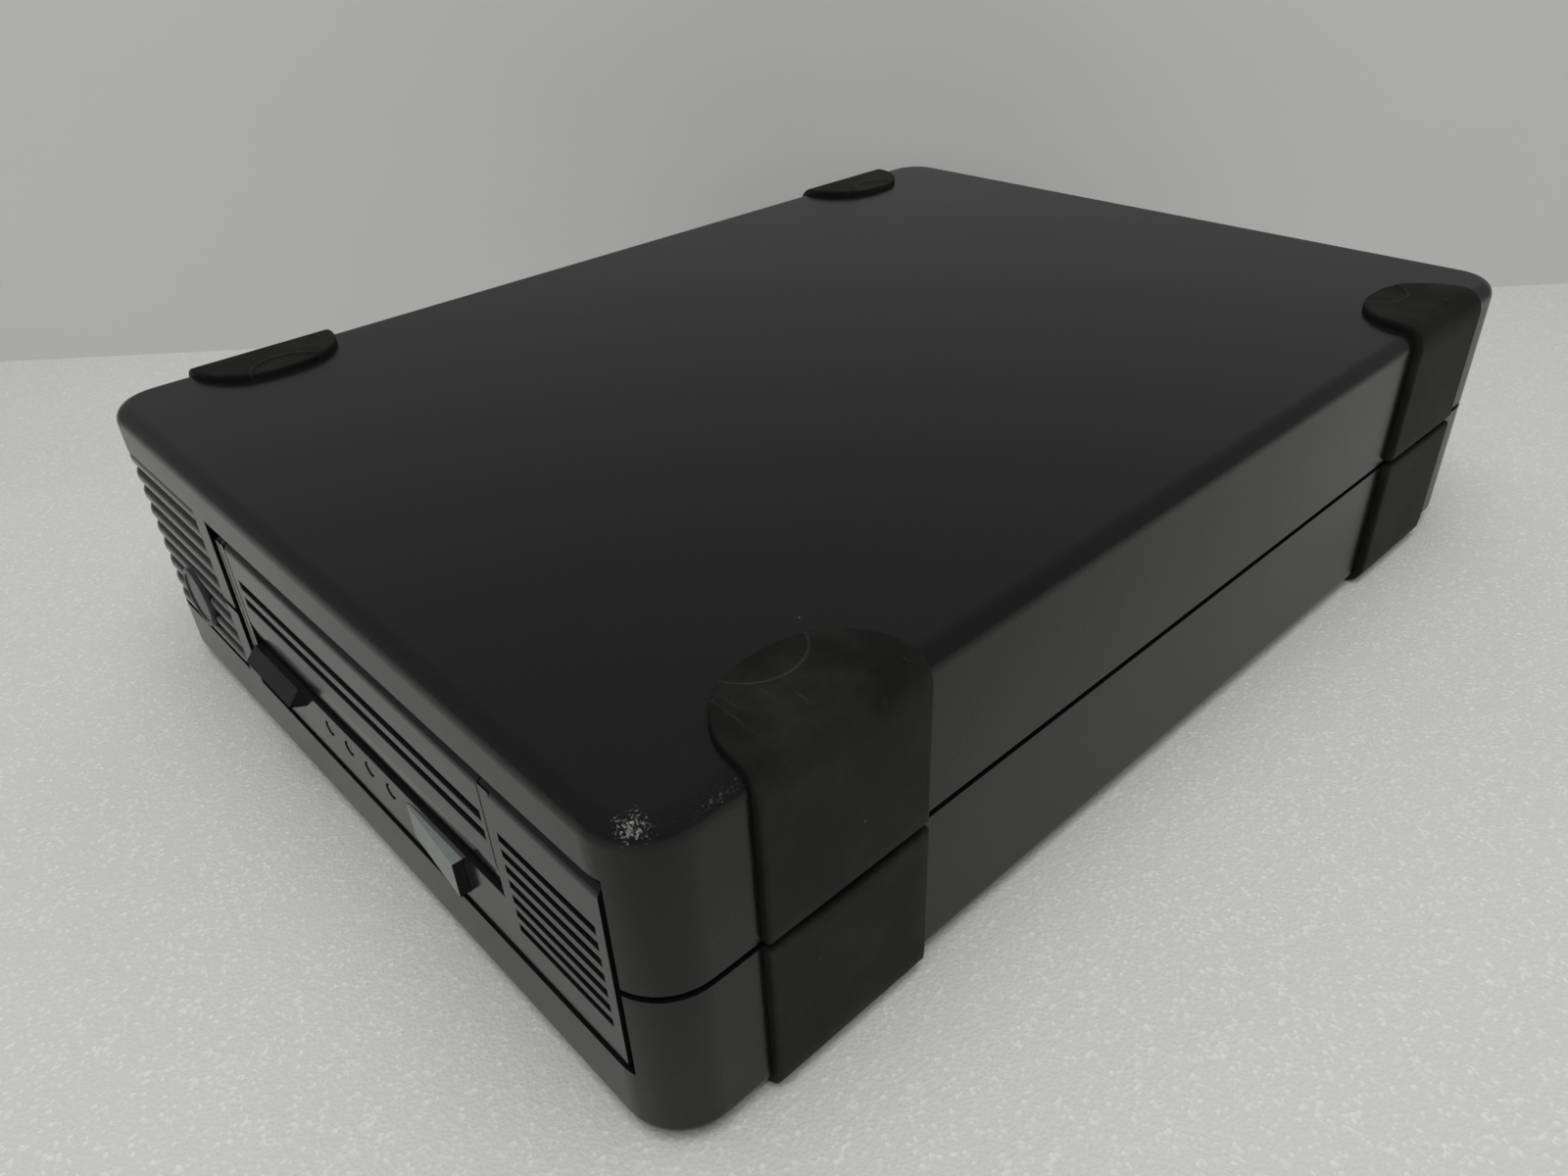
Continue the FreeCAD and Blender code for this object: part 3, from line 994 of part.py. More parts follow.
# ---------------------------------------------------------------- power supply
PSU_X0 = DRIVE_X0 + 20.0
PSU_X1 = DRIVE_X1 - 6.0
PSU_Y0 = CHASSIS_Y1 + SUPPLY_GAP
PSU_Y1 = PSU_Y0 + SUPPLY_DEPTH
PSU_Z = INNER_FLOOR + 5.0
PSU_POST_INSET = 5.0
PSU_POSTS = [(x, y) for x in (PSU_X0 + PSU_POST_INSET, PSU_X1 - PSU_POST_INSET)
             for y in (PSU_Y0 + PSU_POST_INSET, PSU_Y1 - PSU_POST_INSET)]
PSU_BOARD = 1.6
PSU_TOP = PSU_Z + PSU_BOARD
CAN_R = 8.0
CAN_HEIGHT = 28.0
CAN_SIDE_COUNT = 16
CAN_X = PSU_X0 + 24.0
CAN_Y0 = PSU_Y0 + 14.0
CAN_PITCH = 20.0
CORE_X = PSU_X0 + 52.0      # transformer
CORE_WIDTH = 28.0
CORE_DEPTH = 16.0
CORE_LEG = 5.0
CORE_HEIGHT = 26.0
BOBBIN = 3.0                # height of the bobbin's foot
WINDING_WIDTH = 17.6
SINK_X = PSU_X0 + 80.0      # heatsink
SINK_Y = PSU_Y0 + 10.0
SINK_LENGTH = 30.0
SINK_PLATE = 2.5
SINK_REACH = 12.0
FIN_COUNT = 7
FIN = 1.6


def psu_board():
    return box(PSU_X0, PSU_X1, PSU_Y0, PSU_Y1, PSU_Z, PSU_TOP)


def around(x, y, width, depth, z0, z1):
    """Block centred on a point of the plan."""
    return box(x - width / 2, x + width / 2, y - depth / 2, y + depth / 2, z0, z1)


def psu_transformer():
    """Ferrite core with its bobbin and winding."""
    y = (PSU_Y0 + PSU_Y1) / 2
    foot = PSU_TOP + BOBBIN
    top = PSU_TOP + CORE_HEIGHT
    core = around(CORE_X, y, CORE_WIDTH, CORE_DEPTH, foot - SLIP, top)
    window_x = CORE_WIDTH / 4 - SLIP
    windows = [around(CORE_X + side * window_x, y, CORE_LEG, CORE_DEPTH + 2, foot + CORE_LEG, top - CORE_LEG)
               for side in (-1, 1)]
    winding = around(CORE_X, y, WINDING_WIDTH, CORE_DEPTH + CORE_LEG, foot + CORE_LEG + SLIP,
                     top - CORE_LEG - SLIP)
    bobbin = around(CORE_X, y, CORE_WIDTH - CORE_LEG, CORE_DEPTH + CORE_LEG, PSU_TOP, foot)
    return joined(less(core, *windows), winding, bobbin)


def psu_capacitors():
    """Two can capacitors."""
    feet = [vec(CAN_X, CAN_Y0 + i * CAN_PITCH, PSU_TOP) for i in range(2)]
    return Part.makeCompound([many_sided(CAN_R, foot, Z_AXIS, CAN_HEIGHT, CAN_SIDE_COUNT) for foot in feet])


def psu_heatsink():
    """Finned aluminium extrusion standing on the board."""
    top = PSU_TOP + CAN_HEIGHT
    plate = box(SINK_X, SINK_X + SINK_PLATE, SINK_Y, SINK_Y + SINK_LENGTH, PSU_TOP, top)
    pitch = (SINK_LENGTH - FIN) / (FIN_COUNT - 1)
    fins = [box(SINK_X + SINK_PLATE - WELD, SINK_X + SINK_REACH, y, y + FIN, PSU_TOP, top)
            for y in [SINK_Y + i * pitch for i in range(FIN_COUNT)]]
    return joined(plate, *fins)


# ---------------------------------------------------------------- screws
def pan_screw(x, y, z, axis, length, head):
    """Screw whose head's underside is at the given point; the shank runs along the axis."""
    foot = vec(x, y, z) - axis * head
    recess = many_sided(SOCKET_R, foot - axis * SLIP, axis, head / 2 + SLIP, SOCKET_SIDE_COUNT)
    shank = many_sided(SCREW_R, vec(x, y, z), axis, length, SCREW_SIDE_COUNT)
    return less(joined(many_sided(SCREW_HEAD_R, foot, axis, head, SCREW_SIDE_COUNT), shank), recess)


def shell_screws():
    seat = FLOOR + HEAD_RECESS
    return Part.makeCompound([pan_screw(x, y, seat, Z_AXIS, SHELL_SCREW_LENGTH, SCREW_HEAD)
                              for x, y in SHELL_SCREWS])


def drive_screws():
    return Part.makeCompound([pan_screw(x, y, DRIVE_HEAD_SEAT, Z_AXIS, DRIVE_Z0 + SHEET + 1 - DRIVE_HEAD_SEAT,
                                        SCREW_HEAD) for x, y in DRIVE_SCREWS])


def fan_screws():
    return Part.makeCompound([pan_screw(x, PANEL_OUT, z, Y_AXIS * -1, FAN_DEPTH - 4, FAN_SCREW_HEAD)
                              for x, z in fan_screw_places()])


def export(name, shape):
    shape.exportStep(os.path.join("parts", name + ".step"))


def main():
    os.makedirs("parts", exist_ok=True)
    export("lower_shell", lower_shell())
    export("upper_shell", upper_shell())
    export("front_grille", front_grille())
    export("grille_badge", grille_badge())
    export("drive_bezel", drive_bezel())
    export("tape_door", tape_door())
    export("door_pin", door_pin())
    export("eject_button", eject_button())
    export("front_board", front_board())
    export("light_pipes", light_pipes())
    places = {"front": FRONT + RUBBER_INSET, "rear": BACK - RUBBER_INSET - RUBBER_WIDTH}
    for end, y0 in places.items():
        for hand, mirror in (("right", False), ("left", True)):
            upper, lower = rubber_halves(y0, mirror)
            export("rubber_upper_%s_%s" % (end, hand), upper)
            export("rubber_foot_%s_%s" % (end, hand), lower)
    export("rear_panel", rear_panel())
    export("power_inlet", power_inlet())
    export("inlet_blades", inlet_blades())
    export("switch_frame", switch_frame())
    export("switch_rocker", switch_rocker())
    export("data_connector", data_connector())
    export("fan_frame", fan_frame())
    export("fan_rotor", fan_rotor())
    export("drive_chassis", drive_chassis())
    export("drive_cover", drive_cover())
    export("carrier_plate", carrier_plate())
    export("carrier_rail_left", carrier_rail(-1))
    export("carrier_rail_right", carrier_rail(1))
    export("drive_spindle", drive_spindle())
    export("take_up_reel", take_up_reel())
    export("tape_path_plate", tape_path_plate())
    for number, place in enumerate(roller_places(), 1):
        export("guide_roller_%d" % number, guide_roller(place))
    export("head_block", head_block())
    export("drive_board", drive_board())
    export("psu_board", psu_board())
    export("psu_transformer", psu_transformer())
    export("psu_capacitors", psu_capacitors())
    export("psu_heatsink", psu_heatsink())
    export("shell_screws", shell_screws())
    export("drive_screws", drive_screws())
    export("fan_screws", fan_screws())


main()
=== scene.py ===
import json
import math

import bmesh
import bpy
from mathutils import Matrix, Vector

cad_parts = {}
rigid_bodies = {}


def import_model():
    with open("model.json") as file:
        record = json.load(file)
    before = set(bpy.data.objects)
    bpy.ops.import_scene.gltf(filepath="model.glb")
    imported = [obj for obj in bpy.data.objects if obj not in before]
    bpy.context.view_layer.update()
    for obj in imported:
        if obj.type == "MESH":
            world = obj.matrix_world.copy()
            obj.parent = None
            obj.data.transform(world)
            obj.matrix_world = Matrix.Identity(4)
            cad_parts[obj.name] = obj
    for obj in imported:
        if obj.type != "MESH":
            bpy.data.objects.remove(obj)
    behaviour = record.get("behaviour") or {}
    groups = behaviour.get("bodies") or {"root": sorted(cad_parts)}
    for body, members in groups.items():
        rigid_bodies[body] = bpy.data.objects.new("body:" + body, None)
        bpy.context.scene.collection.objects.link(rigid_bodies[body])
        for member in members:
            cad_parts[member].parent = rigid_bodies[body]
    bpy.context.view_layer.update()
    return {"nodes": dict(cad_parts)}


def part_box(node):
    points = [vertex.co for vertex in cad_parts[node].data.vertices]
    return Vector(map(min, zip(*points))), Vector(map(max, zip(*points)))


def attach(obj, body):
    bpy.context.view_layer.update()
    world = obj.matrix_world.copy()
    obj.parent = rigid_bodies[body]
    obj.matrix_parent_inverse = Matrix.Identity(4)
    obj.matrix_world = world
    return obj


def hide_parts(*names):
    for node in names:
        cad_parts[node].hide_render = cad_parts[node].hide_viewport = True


bl_info = {
    "name": "Desktop tape drive",
    "version": (1, 0, 0),
    "blender": (4, 5, 0),
    "location": "3D View > Sidebar > Tape drive",
    "description": "Dresses the packed frame of a desktop cartridge tape drive",
    "category": "Object",
}

for spare in list(bpy.data.objects):
    bpy.data.objects.remove(spare)
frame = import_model()
NODES = frame["nodes"]

MM = 0.001
LOWER_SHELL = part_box("lower_shell")
UPPER_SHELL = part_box("upper_shell")
SIDE = LOWER_SHELL[1].x
FRONT = LOWER_SHELL[0].y
BACK = LOWER_SHELL[1].y
ROOF = UPPER_SHELL[1].z
SHELL_FLOOR = LOWER_SHELL[0].z
Y_AXIS = Vector((0, 1, 0))
Z_AXIS = Vector((0, 0, 1))

# Sockets of the Mix node when it blends colours; it repeats their names for each kind of value.
FACTOR = 0
COLOUR_A = 6
COLOUR_B = 7
MIXED = 2


def linear(code):
    """Turns an sRGB hex colour into the linear values that Blender works in."""
    channels = [int(code[i:i + 2], 16) / 255 for i in (1, 3, 5)]
    return tuple(c / 12.92 if c <= 0.04045 else ((c + 0.055) / 1.055) ** 2.4 for c in channels)


def opaque(colour):
    """Colour with an alpha of one, as shader sockets want it."""
    return (*colour, 1.0)


def solid(code):
    """Hex colour as shader sockets want it."""
    return opaque(linear(code))


def shade(colour, factor):
    """The same colour, lighter or darker."""
    return opaque([min(1.0, channel * factor) for channel in colour])


def colour_property(name, description, code):
    return bpy.props.FloatVectorProperty(
        name=name, description=description, subtype="COLOR", size=3, min=0.0, max=1.0, default=linear(code))


def length_property(name, description, millimetres):
    return bpy.props.FloatProperty(
        name=name, description=description, unit="LENGTH", min=0.0, precision=5, default=millimetres * MM)


class TapeDriveSizes(bpy.types.PropertyGroup):
    """Sizes of the pieces that are modelled here."""

    blade_count: bpy.props.IntProperty(
        name="Blades", description="Number of blades in the front grille", min=1, default=9)
    blade_gap: length_property("Blade gap", "Air gap between two blades", 0.9)
    blade_depth: length_property("Blade depth", "Thickness of a blade from its nose back", 5.0)
    nose_radius: length_property("Nose radius", "Rounding of a blade's nose", 1.9)
    corner_radius: length_property("Corner radius", "Upright corners of the case", 12.0)
    roof_radius: length_property("Top edge radius", "Rounding round the top of the case in the solids", 6.5)
    shown_roof_radius: length_property("Shown top edge radius", "The tighter rounding that is shown", 4.0)
    floor_radius: length_property("Bottom edge radius", "Rounding round the bottom of the case", 3.0)
    rubber_thickness: length_property("Rubber thickness", "How far the rubber stands off the case", 2.0)
    rubber_rim: length_property("Rubber rim", "Rounding of the rubber's own edges", 0.8)
    tongue_radius: length_property("Tongue radius", "Rounded end of the rubber on the top and bottom", 17.0)
    dish_radius: length_property("Dish radius", "Shallow round dish at the end of each rubber tongue", 9.4)
    dish_offset: length_property("Dish offset", "From the tongue's tip to the middle of its dish", 1.7)
    dish_depth: length_property("Dish depth", "Depth of that dish", 0.35)
    dish_lip: length_property("Dish lip", "Height of the fine raised line round the dish", 0.12)
    lip_offset: length_property("Lip offset", "From the dish's edge out to the crest of that line", 0.45)
    post_count: bpy.props.IntProperty(name="Posts", description="Posts behind the blades", min=2, default=4)
    post_width: length_property("Post width", "Width of a post", 3.5)
    window_count: bpy.props.IntProperty(name="Windows", description="Indicator windows", min=2, default=4)
    screw_head_radius: length_property("Screw head", "Radius of a pan head", 2.7)
    fan_blades: bpy.props.IntProperty(name="Fan blades", description="Blades on the rotor", min=3, default=7)


class TapeDriveFinishes(bpy.types.PropertyGroup):
    """Colours of the main mouldings."""

    case_colour: colour_property("Case", "Charcoal plastic of the two shells", "#0F100F")
    grille_colour: colour_property("Grille", "Plastic of the grille insert", "#151516")
    bezel_colour: colour_property("Bezel", "Plastic of the drive's front", "#19191A")
    rubber_colour: colour_property("Rubber", "Corner pieces", "#0F0F0E")
    button_colour: colour_property("Button", "Eject button", "#7C837F")
    floor_colour: colour_property("Floor", "Ground that the drive stands on", "#C6C6C3")
    wall_colour: colour_property("Backdrop", "Wall behind the drive", "#CFCFCD")


# ---------------------------------------------------------------- shader nodes
def add_node(tree, kind, inputs=None, **settings):
    """Adds a node. An input is named or numbered, and gets a plain value or another node's output."""
    node = tree.nodes.new(kind)
    for name, value in settings.items():
        setattr(node, name, value)
    for key, value in (inputs or {}).items():
        if isinstance(value, bpy.types.NodeSocket):
            tree.links.new(value, node.inputs[key])
        else:
            node.inputs[key].default_value = value
    return node


def per_metre(millimetres):
    """Scale of a pattern whose grains or cells are that far apart."""
    return 1.0 / (millimetres * MM)


def noise(tree, place, millimetres, detail=2.0, **further):
    """Cloudy pattern between 0 and 1, with grains that far apart."""
    inputs = {"Vector": place, "Scale": per_metre(millimetres), "Detail": detail, **further}
    return add_node(tree, "ShaderNodeTexNoise", inputs).outputs["Fac"]


def strands(tree, place, scale, detail, turn=(0.0, 0.0, 0.0)):
    """Noise drawn out into strands: the scale is grains to the metre along each axis."""
    drawn = add_node(tree, "ShaderNodeMapping", {"Vector": place, "Rotation": turn, "Scale": scale})
    inputs = {"Vector": drawn.outputs["Vector"], "Scale": 1.0, "Detail": detail}
    return add_node(tree, "ShaderNodeTexNoise", inputs).outputs["Fac"]


def cells(tree, place, millimetres):
    """Outputs of a cell pattern: each cell's own colour, and the distance from its middle."""
    return add_node(tree, "ShaderNodeTexVoronoi", {"Vector": place, "Scale": per_metre(millimetres)}).outputs


def split_colour(tree, colour):
    return add_node(tree, "ShaderNodeSeparateColor", {"Color": colour}).outputs


def blend(tree, factor, first, second):
    """Colour that goes from the first to the second as the factor goes from 0 to 1."""
    inputs = {FACTOR: factor, COLOUR_A: first, COLOUR_B: second}
    return add_node(tree, "ShaderNodeMix", inputs, data_type="RGBA").outputs[MIXED]


def ranged(tree, value, given, wanted=(0.0, 1.0)):
    """Carries a value from one range to another and holds it at the ends."""
    inputs = {"Value": value, "From Min": given[0], "From Max": given[1], "To Min": wanted[0],
              "To Max": wanted[1]}
    return add_node(tree, "ShaderNodeMapRange", inputs).outputs["Result"]


def maths(tree, operation, *values):
    return add_node(tree, "ShaderNodeMath", dict(enumerate(values)), operation=operation).outputs["Value"]


def vector_maths(tree, operation, *values):
    """Output of a Vector Math node: a number for a length or distance, a vector for the rest."""
    node = add_node(tree, "ShaderNodeVectorMath", dict(enumerate(values)), operation=operation)
    return node.outputs["Value" if operation in ("LENGTH", "DISTANCE") else "Vector"]


def relief(tree, height, strength, millimetres):
    """Normal of a surface roughened by a pattern that is that deep."""
    inputs = {"Height": height, "Strength": strength, "Distance": millimetres * MM}
    return add_node(tree, "ShaderNodeBump", inputs).outputs["Normal"]


def start_finish(name):
    """New material, its empty tree, and the place on the object that its patterns follow."""
    material = bpy.data.materials.new(name)
    material.use_nodes = True
    tree = material.node_tree
    tree.nodes.clear()
    place = add_node(tree, "ShaderNodeTexCoord").outputs["Object"]
    return material, tree, place


def end_finish(material, inputs):
    """Closes a finish with a surface shader that has these inputs."""
    tree = material.node_tree
    shader = add_node(tree, "ShaderNodeBsdfPrincipled", inputs)
    add_node(tree, "ShaderNodeOutputMaterial", {"Surface": shader.outputs["BSDF"]})
    return material


# ---------------------------------------------------------------- finishes
def spark_eroded_abs(name, colour, wear_and_highlight_places=()):
    """ABS from a spark-eroded tool: even fine grain, faint clouds, a few specks of dust, rubbed corners and
    painted highlights along edges.
    """
    material, tree, place = start_finish(name)
    roughness = 0.2
    # The tool's real grain is about 0.1 mm; it is drawn near 1 mm so that it shows.
    pits = noise(tree, place, 0.9, 2.0, Roughness=0.65)
    clouds = noise(tree, place, 55.0, 3.0)
    tone = blend(tree, clouds, shade(colour, 0.8), shade(colour, 1.22))
    speckled = ranged(tree, pits, (0.3, 0.72), (0.0, 0.34))
    grained = blend(tree, speckled, tone, shade(colour, 1.9))
    # Dust settles as single pale specks, each some 0.4 mm across, in some of the 11 mm cells.
    dust = cells(tree, place, 11.0)
    near = maths(tree, "LESS_THAN", dust["Distance"], 0.017)
    kept = maths(tree, "GREATER_THAN", split_colour(tree, dust["Color"])["Red"], 0.62)
    surface = blend(tree, maths(tree, "MULTIPLY", near, kept), grained, solid("#6E6C66"))
    polish = ranged(tree, clouds, (0.3, 0.7), (roughness - 0.03, roughness + 0.04))
    breakup = noise(tree, place, 0.5, 3.0, Roughness=0.7)
    # Each place gets a pale mark: rubbed wear where the shell is chipped, and a painted highlight where light
    # catches an edge.
    for middle, reach, strength in wear_and_highlight_places:
        offset = vector_maths(tree, "SUBTRACT", place, middle)
        away = vector_maths(tree, "LENGTH", vector_maths(tree, "DIVIDE", offset, reach))
        # The mark fades outwards and breaks up into specks, as chips of wear and as the sparkle of a painted
        # highlight; a weak one is sparse as well as faint.
        fade = ranged(tree, away, (0.0, 1.0), (0.6 - 0.3 * strength, 0.72))
        mark = ranged(tree, maths(tree, "SUBTRACT", breakup, fade), (0.0, 0.16), (0.0, strength))
        surface = blend(tree, mark, surface, solid("#9A9B96"))
    return end_finish(material, {"Base Color": surface, "Roughness": polish, "IOR": 1.5,
                                 "Specular IOR Level": 0.26, "Normal": relief(tree, pits, 0.3, 0.12)})


def satin_abs(name, colour, roughness=0.16, streaks=0.03):
    """ABS from a fine-stoned tool: nearly smooth, with a soft sheen and faint handling marks."""
    material, tree, place = start_finish(name)
    fine = noise(tree, place, 0.6)
    clouds = noise(tree, place, 24.0, 3.0)
    wiped = strands(tree, place, (40.0, 300.0, 900.0), 3.0)
    mark = ranged(tree, wiped, (0.55, 0.75), (0.0, streaks))
    tone = blend(tree, clouds, shade(colour, 0.85), shade(colour, 1.15))
    marking = blend(tree, mark, tone, shade(colour, 2.6))
    polish = ranged(tree, clouds, (0.3, 0.7), (roughness - 0.04, roughness + 0.05))
    return end_finish(material, {"Base Color": marking, "Roughness": polish, "IOR": 1.5,
                                 "Specular IOR Level": 0.35, "Normal": relief(tree, fine, 0.04, 0.06)})


def painted_lip_highlight(tree, place, surface, patches, dish):
    """Pales the raised line round each dish as a painted highlight of the light on it; the four dishes mirror
    one another about the middle.
    """
    middle, half_spacing, radius = dish
    folded = vector_maths(tree, "ABSOLUTE", vector_maths(tree, "SUBTRACT", place, middle))
    level = vector_maths(tree, "MULTIPLY", folded, (1.0, 1.0, 0.0))
    away = vector_maths(tree, "DISTANCE", level, half_spacing)
    off_line = maths(tree, "ABSOLUTE", maths(tree, "SUBTRACT", away, radius))
    strength = ranged(tree, patches, (0.3, 0.65), (0.02, 0.2))
    # Painted highlight along the crest of the raised line.
    line = ranged(tree, off_line, (0.15 * MM, 0.4 * MM), (strength, 0.0))
    return blend(tree, line, surface, solid("#55544D"))


def moulded_rubber(name, colour, dish=None):
    """Soft thermoplastic rubber: dull and even, with a greyish bloom, hair scratches and stuck dust."""
    material, tree, place = start_finish(name)
    skin = noise(tree, place, 1.3, 3.0, Roughness=0.7)
    bloom = noise(tree, place, 16.0, 5.0, Roughness=0.65)
    film = ranged(tree, bloom, (0.42, 0.72), (0.0, 0.5))
    tone = blend(tree, film, opaque(colour), solid("#2C2B28"))
    hairs = strands(tree, place, (60.0, 1400.0, 1400.0), 2.0, turn=(0.5, 0.3, 0.7))
    scratch = ranged(tree, hairs, (0.68, 0.78), (0.0, 0.14))
    marked = blend(tree, scratch, tone, solid("#4A4944"))
    speck = ranged(tree, cells(tree, place, 6.0)["Distance"], (0.03, 0.045), (0.55, 0.0))
    surface = blend(tree, speck, marked, solid("#65625A"))
    # The pale line round each dish is a painted highlight.
    if dish:
        surface = painted_lip_highlight(tree, place, surface, bloom, dish)
    return end_finish(material, {"Base Color": surface, "Roughness": 0.66, "IOR": 1.5,
                                 "Specular IOR Level": 0.25, "Normal": relief(tree, skin, 0.3, 0.15)})


def painted_button(name, colour):
    """Silver-grey lacquer on ABS: pale, faintly metallic, rubbed a little darker where fingers press, with
    painted shade on its ends.
    """
    material, tree, place = start_finish(name)
    flakes = split_colour(tree, cells(tree, place, 0.5)["Color"])
    sparkle = ranged(tree, flakes["Green"], (0.0, 1.0), (0.0, 0.35))
    tone = blend(tree, sparkle, shade(colour, 0.92), shade(colour, 1.3))
    marking = ranged(tree, noise(tree, place, 5.0, 4.0), (0.52, 0.75), (0.0, 0.35))
    lacquer = blend(tree, marking, tone, shade(colour, 0.6))
    # The lacquer covers the face alone; the ends stay bare black.
    # The faces that look along X are coloured near black as painted shade; the lacquer colour stays on the
    # face.
    facing = add_node(tree, "ShaderNodeNewGeometry").outputs["Normal"]
    turned_to = add_node(tree, "ShaderNodeSeparateXYZ", {"Vector": facing}).outputs["X"]
    painted_end_shade = ranged(tree, maths(tree, "ABSOLUTE", turned_to), (0.5, 0.65))
    surface = blend(tree, painted_end_shade, lacquer, solid("#0C0C0C"))
    return end_finish(material, {"Base Color": surface, "Roughness": 0.34, "IOR": 1.5})


def smoked_polycarbonate(name, code, first, pitch, radius):
    """Clear rods in a row with a smoke tint: dark until lit, glossy, with a painted highlight on the rim and
    a painted shadow in the gap round it.
    """
    material, tree, place = start_finish(name)
    colour = linear(code)
    tone = blend(tree, noise(tree, place, 2.0), shade(colour, 0.7), shade(colour, 1.4))
    # Distance from the axis of the nearest rod.
    beside = vector_maths(tree, "SUBTRACT", place, first)
    offset = add_node(tree, "ShaderNodeSeparateXYZ", {"Vector": beside}).outputs
    across = maths(tree, "WRAP", offset["X"], pitch / 2, -pitch / 2)
    on_rod = add_node(tree, "ShaderNodeCombineXYZ", {"X": across, "Z": offset["Z"]}).outputs["Vector"]
    away = vector_maths(tree, "LENGTH", on_rod)
    # The pale rim is a painted highlight, standing for a chamfer that catches the light.
    rim = ranged(tree, away, (radius * 0.5, radius * 0.66), (0.0, 0.8))
    with_painted_rim_highlight = blend(tree, rim, tone, solid("#8C8E8A"))
    # The gap round each window is coloured near black as painted shadow.
    gap = maths(tree, "GREATER_THAN", away, radius * 0.73)
    surface = blend(tree, gap, with_painted_rim_highlight, solid("#050505"))
    return end_finish(material, {"Base Color": surface, "Roughness": 0.25, "IOR": 1.58})


def glass_filled_nylon(name, code, roughness=0.5):
    """Black nylon for fittings: dull, with faint flow marks from the glass fibres."""
    material, tree, place = start_finish(name)
    colour = linear(code)
    drawn = add_node(tree, "ShaderNodeMapping", {"Vector": place, "Scale": (1.0, 3.0, 1.0)}).outputs["Vector"]
    flow = noise(tree, drawn, 4.0, 5.0, Distortion=0.6)
    tone = blend(tree, flow, shade(colour, 0.7), shade(colour, 1.5))
    polish = ranged(tree, flow, (0.0, 1.0), (roughness - 0.08, roughness + 0.1))
    return end_finish(material, {"Base Color": tone, "Roughness": polish, "IOR": 1.53})


def powder_coat(name, code):
    """Baked powder on sheet steel: slightly pebbled, low sheen."""
    material, tree, place = start_finish(name)
    colour = linear(code)
    pebbles = noise(tree, place, 1.4)
    clouds = noise(tree, place, 35.0)
    tone = blend(tree, clouds, shade(colour, 0.85), shade(colour, 1.2))
    return end_finish(material, {"Base Color": tone, "Roughness": 0.5, "IOR": 1.5,
                                 "Normal": relief(tree, pebbles, 0.4, 0.1)})


def plated_steel(name, code, roughness=0.34, spangle=7.0):
    """Zinc-plated sheet: bluish grey metal with a faint spangle of crystals."""
    material, tree, place = start_finish(name)
    colour = linear(code)
    crystals = split_colour(tree, cells(tree, place, spangle)["Color"])
    tone = blend(tree, crystals["Red"], shade(colour, 0.86), shade(colour, 1.12))
    polish = ranged(tree, crystals["Green"], (0.0, 1.0), (roughness - 0.06, roughness + 0.1))
    return end_finish(material, {"Base Color": tone, "Roughness": polish, "Metallic": 1.0})


def machined_metal(name, code, roughness=0.25, line=0.4):
    """Turned or milled metal: bright, with fine tool lines."""
    material, tree, place = start_finish(name)
    colour = linear(code)
    squeezed = add_node(tree, "ShaderNodeMapping", {"Vector": place, "Scale": (0.06, 0.06, 1.0)})
    lines = noise(tree, squeezed.outputs["Vector"], line, 3.0)
    tone = blend(tree, lines, shade(colour, 0.8), shade(colour, 1.1))
    return end_finish(material, {"Base Color": tone, "Roughness": roughness, "Metallic": 1.0,
                                 "Normal": relief(tree, lines, 0.25, 0.03)})


def solder_mask(name):
    """Green lacquer over a glass-epoxy board: glossy, with the copper's lines showing paler through it."""
    material, tree, place = start_finish(name)
    tracks = add_node(tree, "ShaderNodeTexBrick", {
        "Vector": place, "Scale": per_metre(9.0), "Mortar Size": 0.03, "Color1": solid("#0E3B22"),
        "Color2": solid("#10452A"), "Mortar": solid("#2C6B45")})
    return end_finish(material, {"Base Color": tracks.outputs["Color"], "Roughness": 0.28, "IOR": 1.5})


def acetal(name, code):
    """White acetal: waxy and smooth, slightly see-through at thin edges."""
    material, tree, place = start_finish(name)
    colour = linear(code)
    tone = blend(tree, noise(tree, place, 12.0), shade(colour, 0.92), shade(colour, 1.05))
    return end_finish(material, {"Base Color": tone, "Roughness": 0.35, "IOR": 1.48,
                                 "Subsurface Weight": 0.1, "Subsurface Scale": 1.0 * MM})


def foam_sheet(name, colour):
    """Closed-cell packing foam: white, with fine beads, a few of them coloured paler as painted highlights.
    """
    material, tree, place = start_finish(name)
    beads = cells(tree, place, 0.8)
    # A few bead cells are coloured near white as painted highlights.
    painted_glint = ranged(tree, split_colour(tree, beads["Color"])["Red"], (0.8, 1.0), (0.0, 0.3))
    drift = noise(tree, place, 90.0)
    tone = blend(tree, drift, shade(colour, 0.97), shade(colour, 1.03))
    lit = blend(tree, painted_glint, tone, solid("#EFEFEF"))
    return end_finish(material, {"Base Color": lit, "Roughness": 0.7, "IOR": 1.45,
                                 "Normal": relief(tree, beads["Distance"], 0.5, 0.3)})


def painted_wall(name, colour):
    """Flat emulsion, seen only from the room's side, so that it hides nothing from behind."""
    material, tree, place = start_finish(name)
    tone = blend(tree, noise(tree, place, 180.0), shade(colour, 0.96), shade(colour, 1.04))
    paint = add_node(tree, "ShaderNodeBsdfPrincipled", {"Base Color": tone, "Roughness": 0.9})
    clear = add_node(tree, "ShaderNodeBsdfTransparent")
    facing = add_node(tree, "ShaderNodeNewGeometry")
    both = add_node(tree, "ShaderNodeMixShader", {0: facing.outputs["Backfacing"], 1: paint.outputs["BSDF"],
                                                  2: clear.outputs["BSDF"]})
    add_node(tree, "ShaderNodeOutputMaterial", {"Surface": both.outputs["Shader"]})
    return material


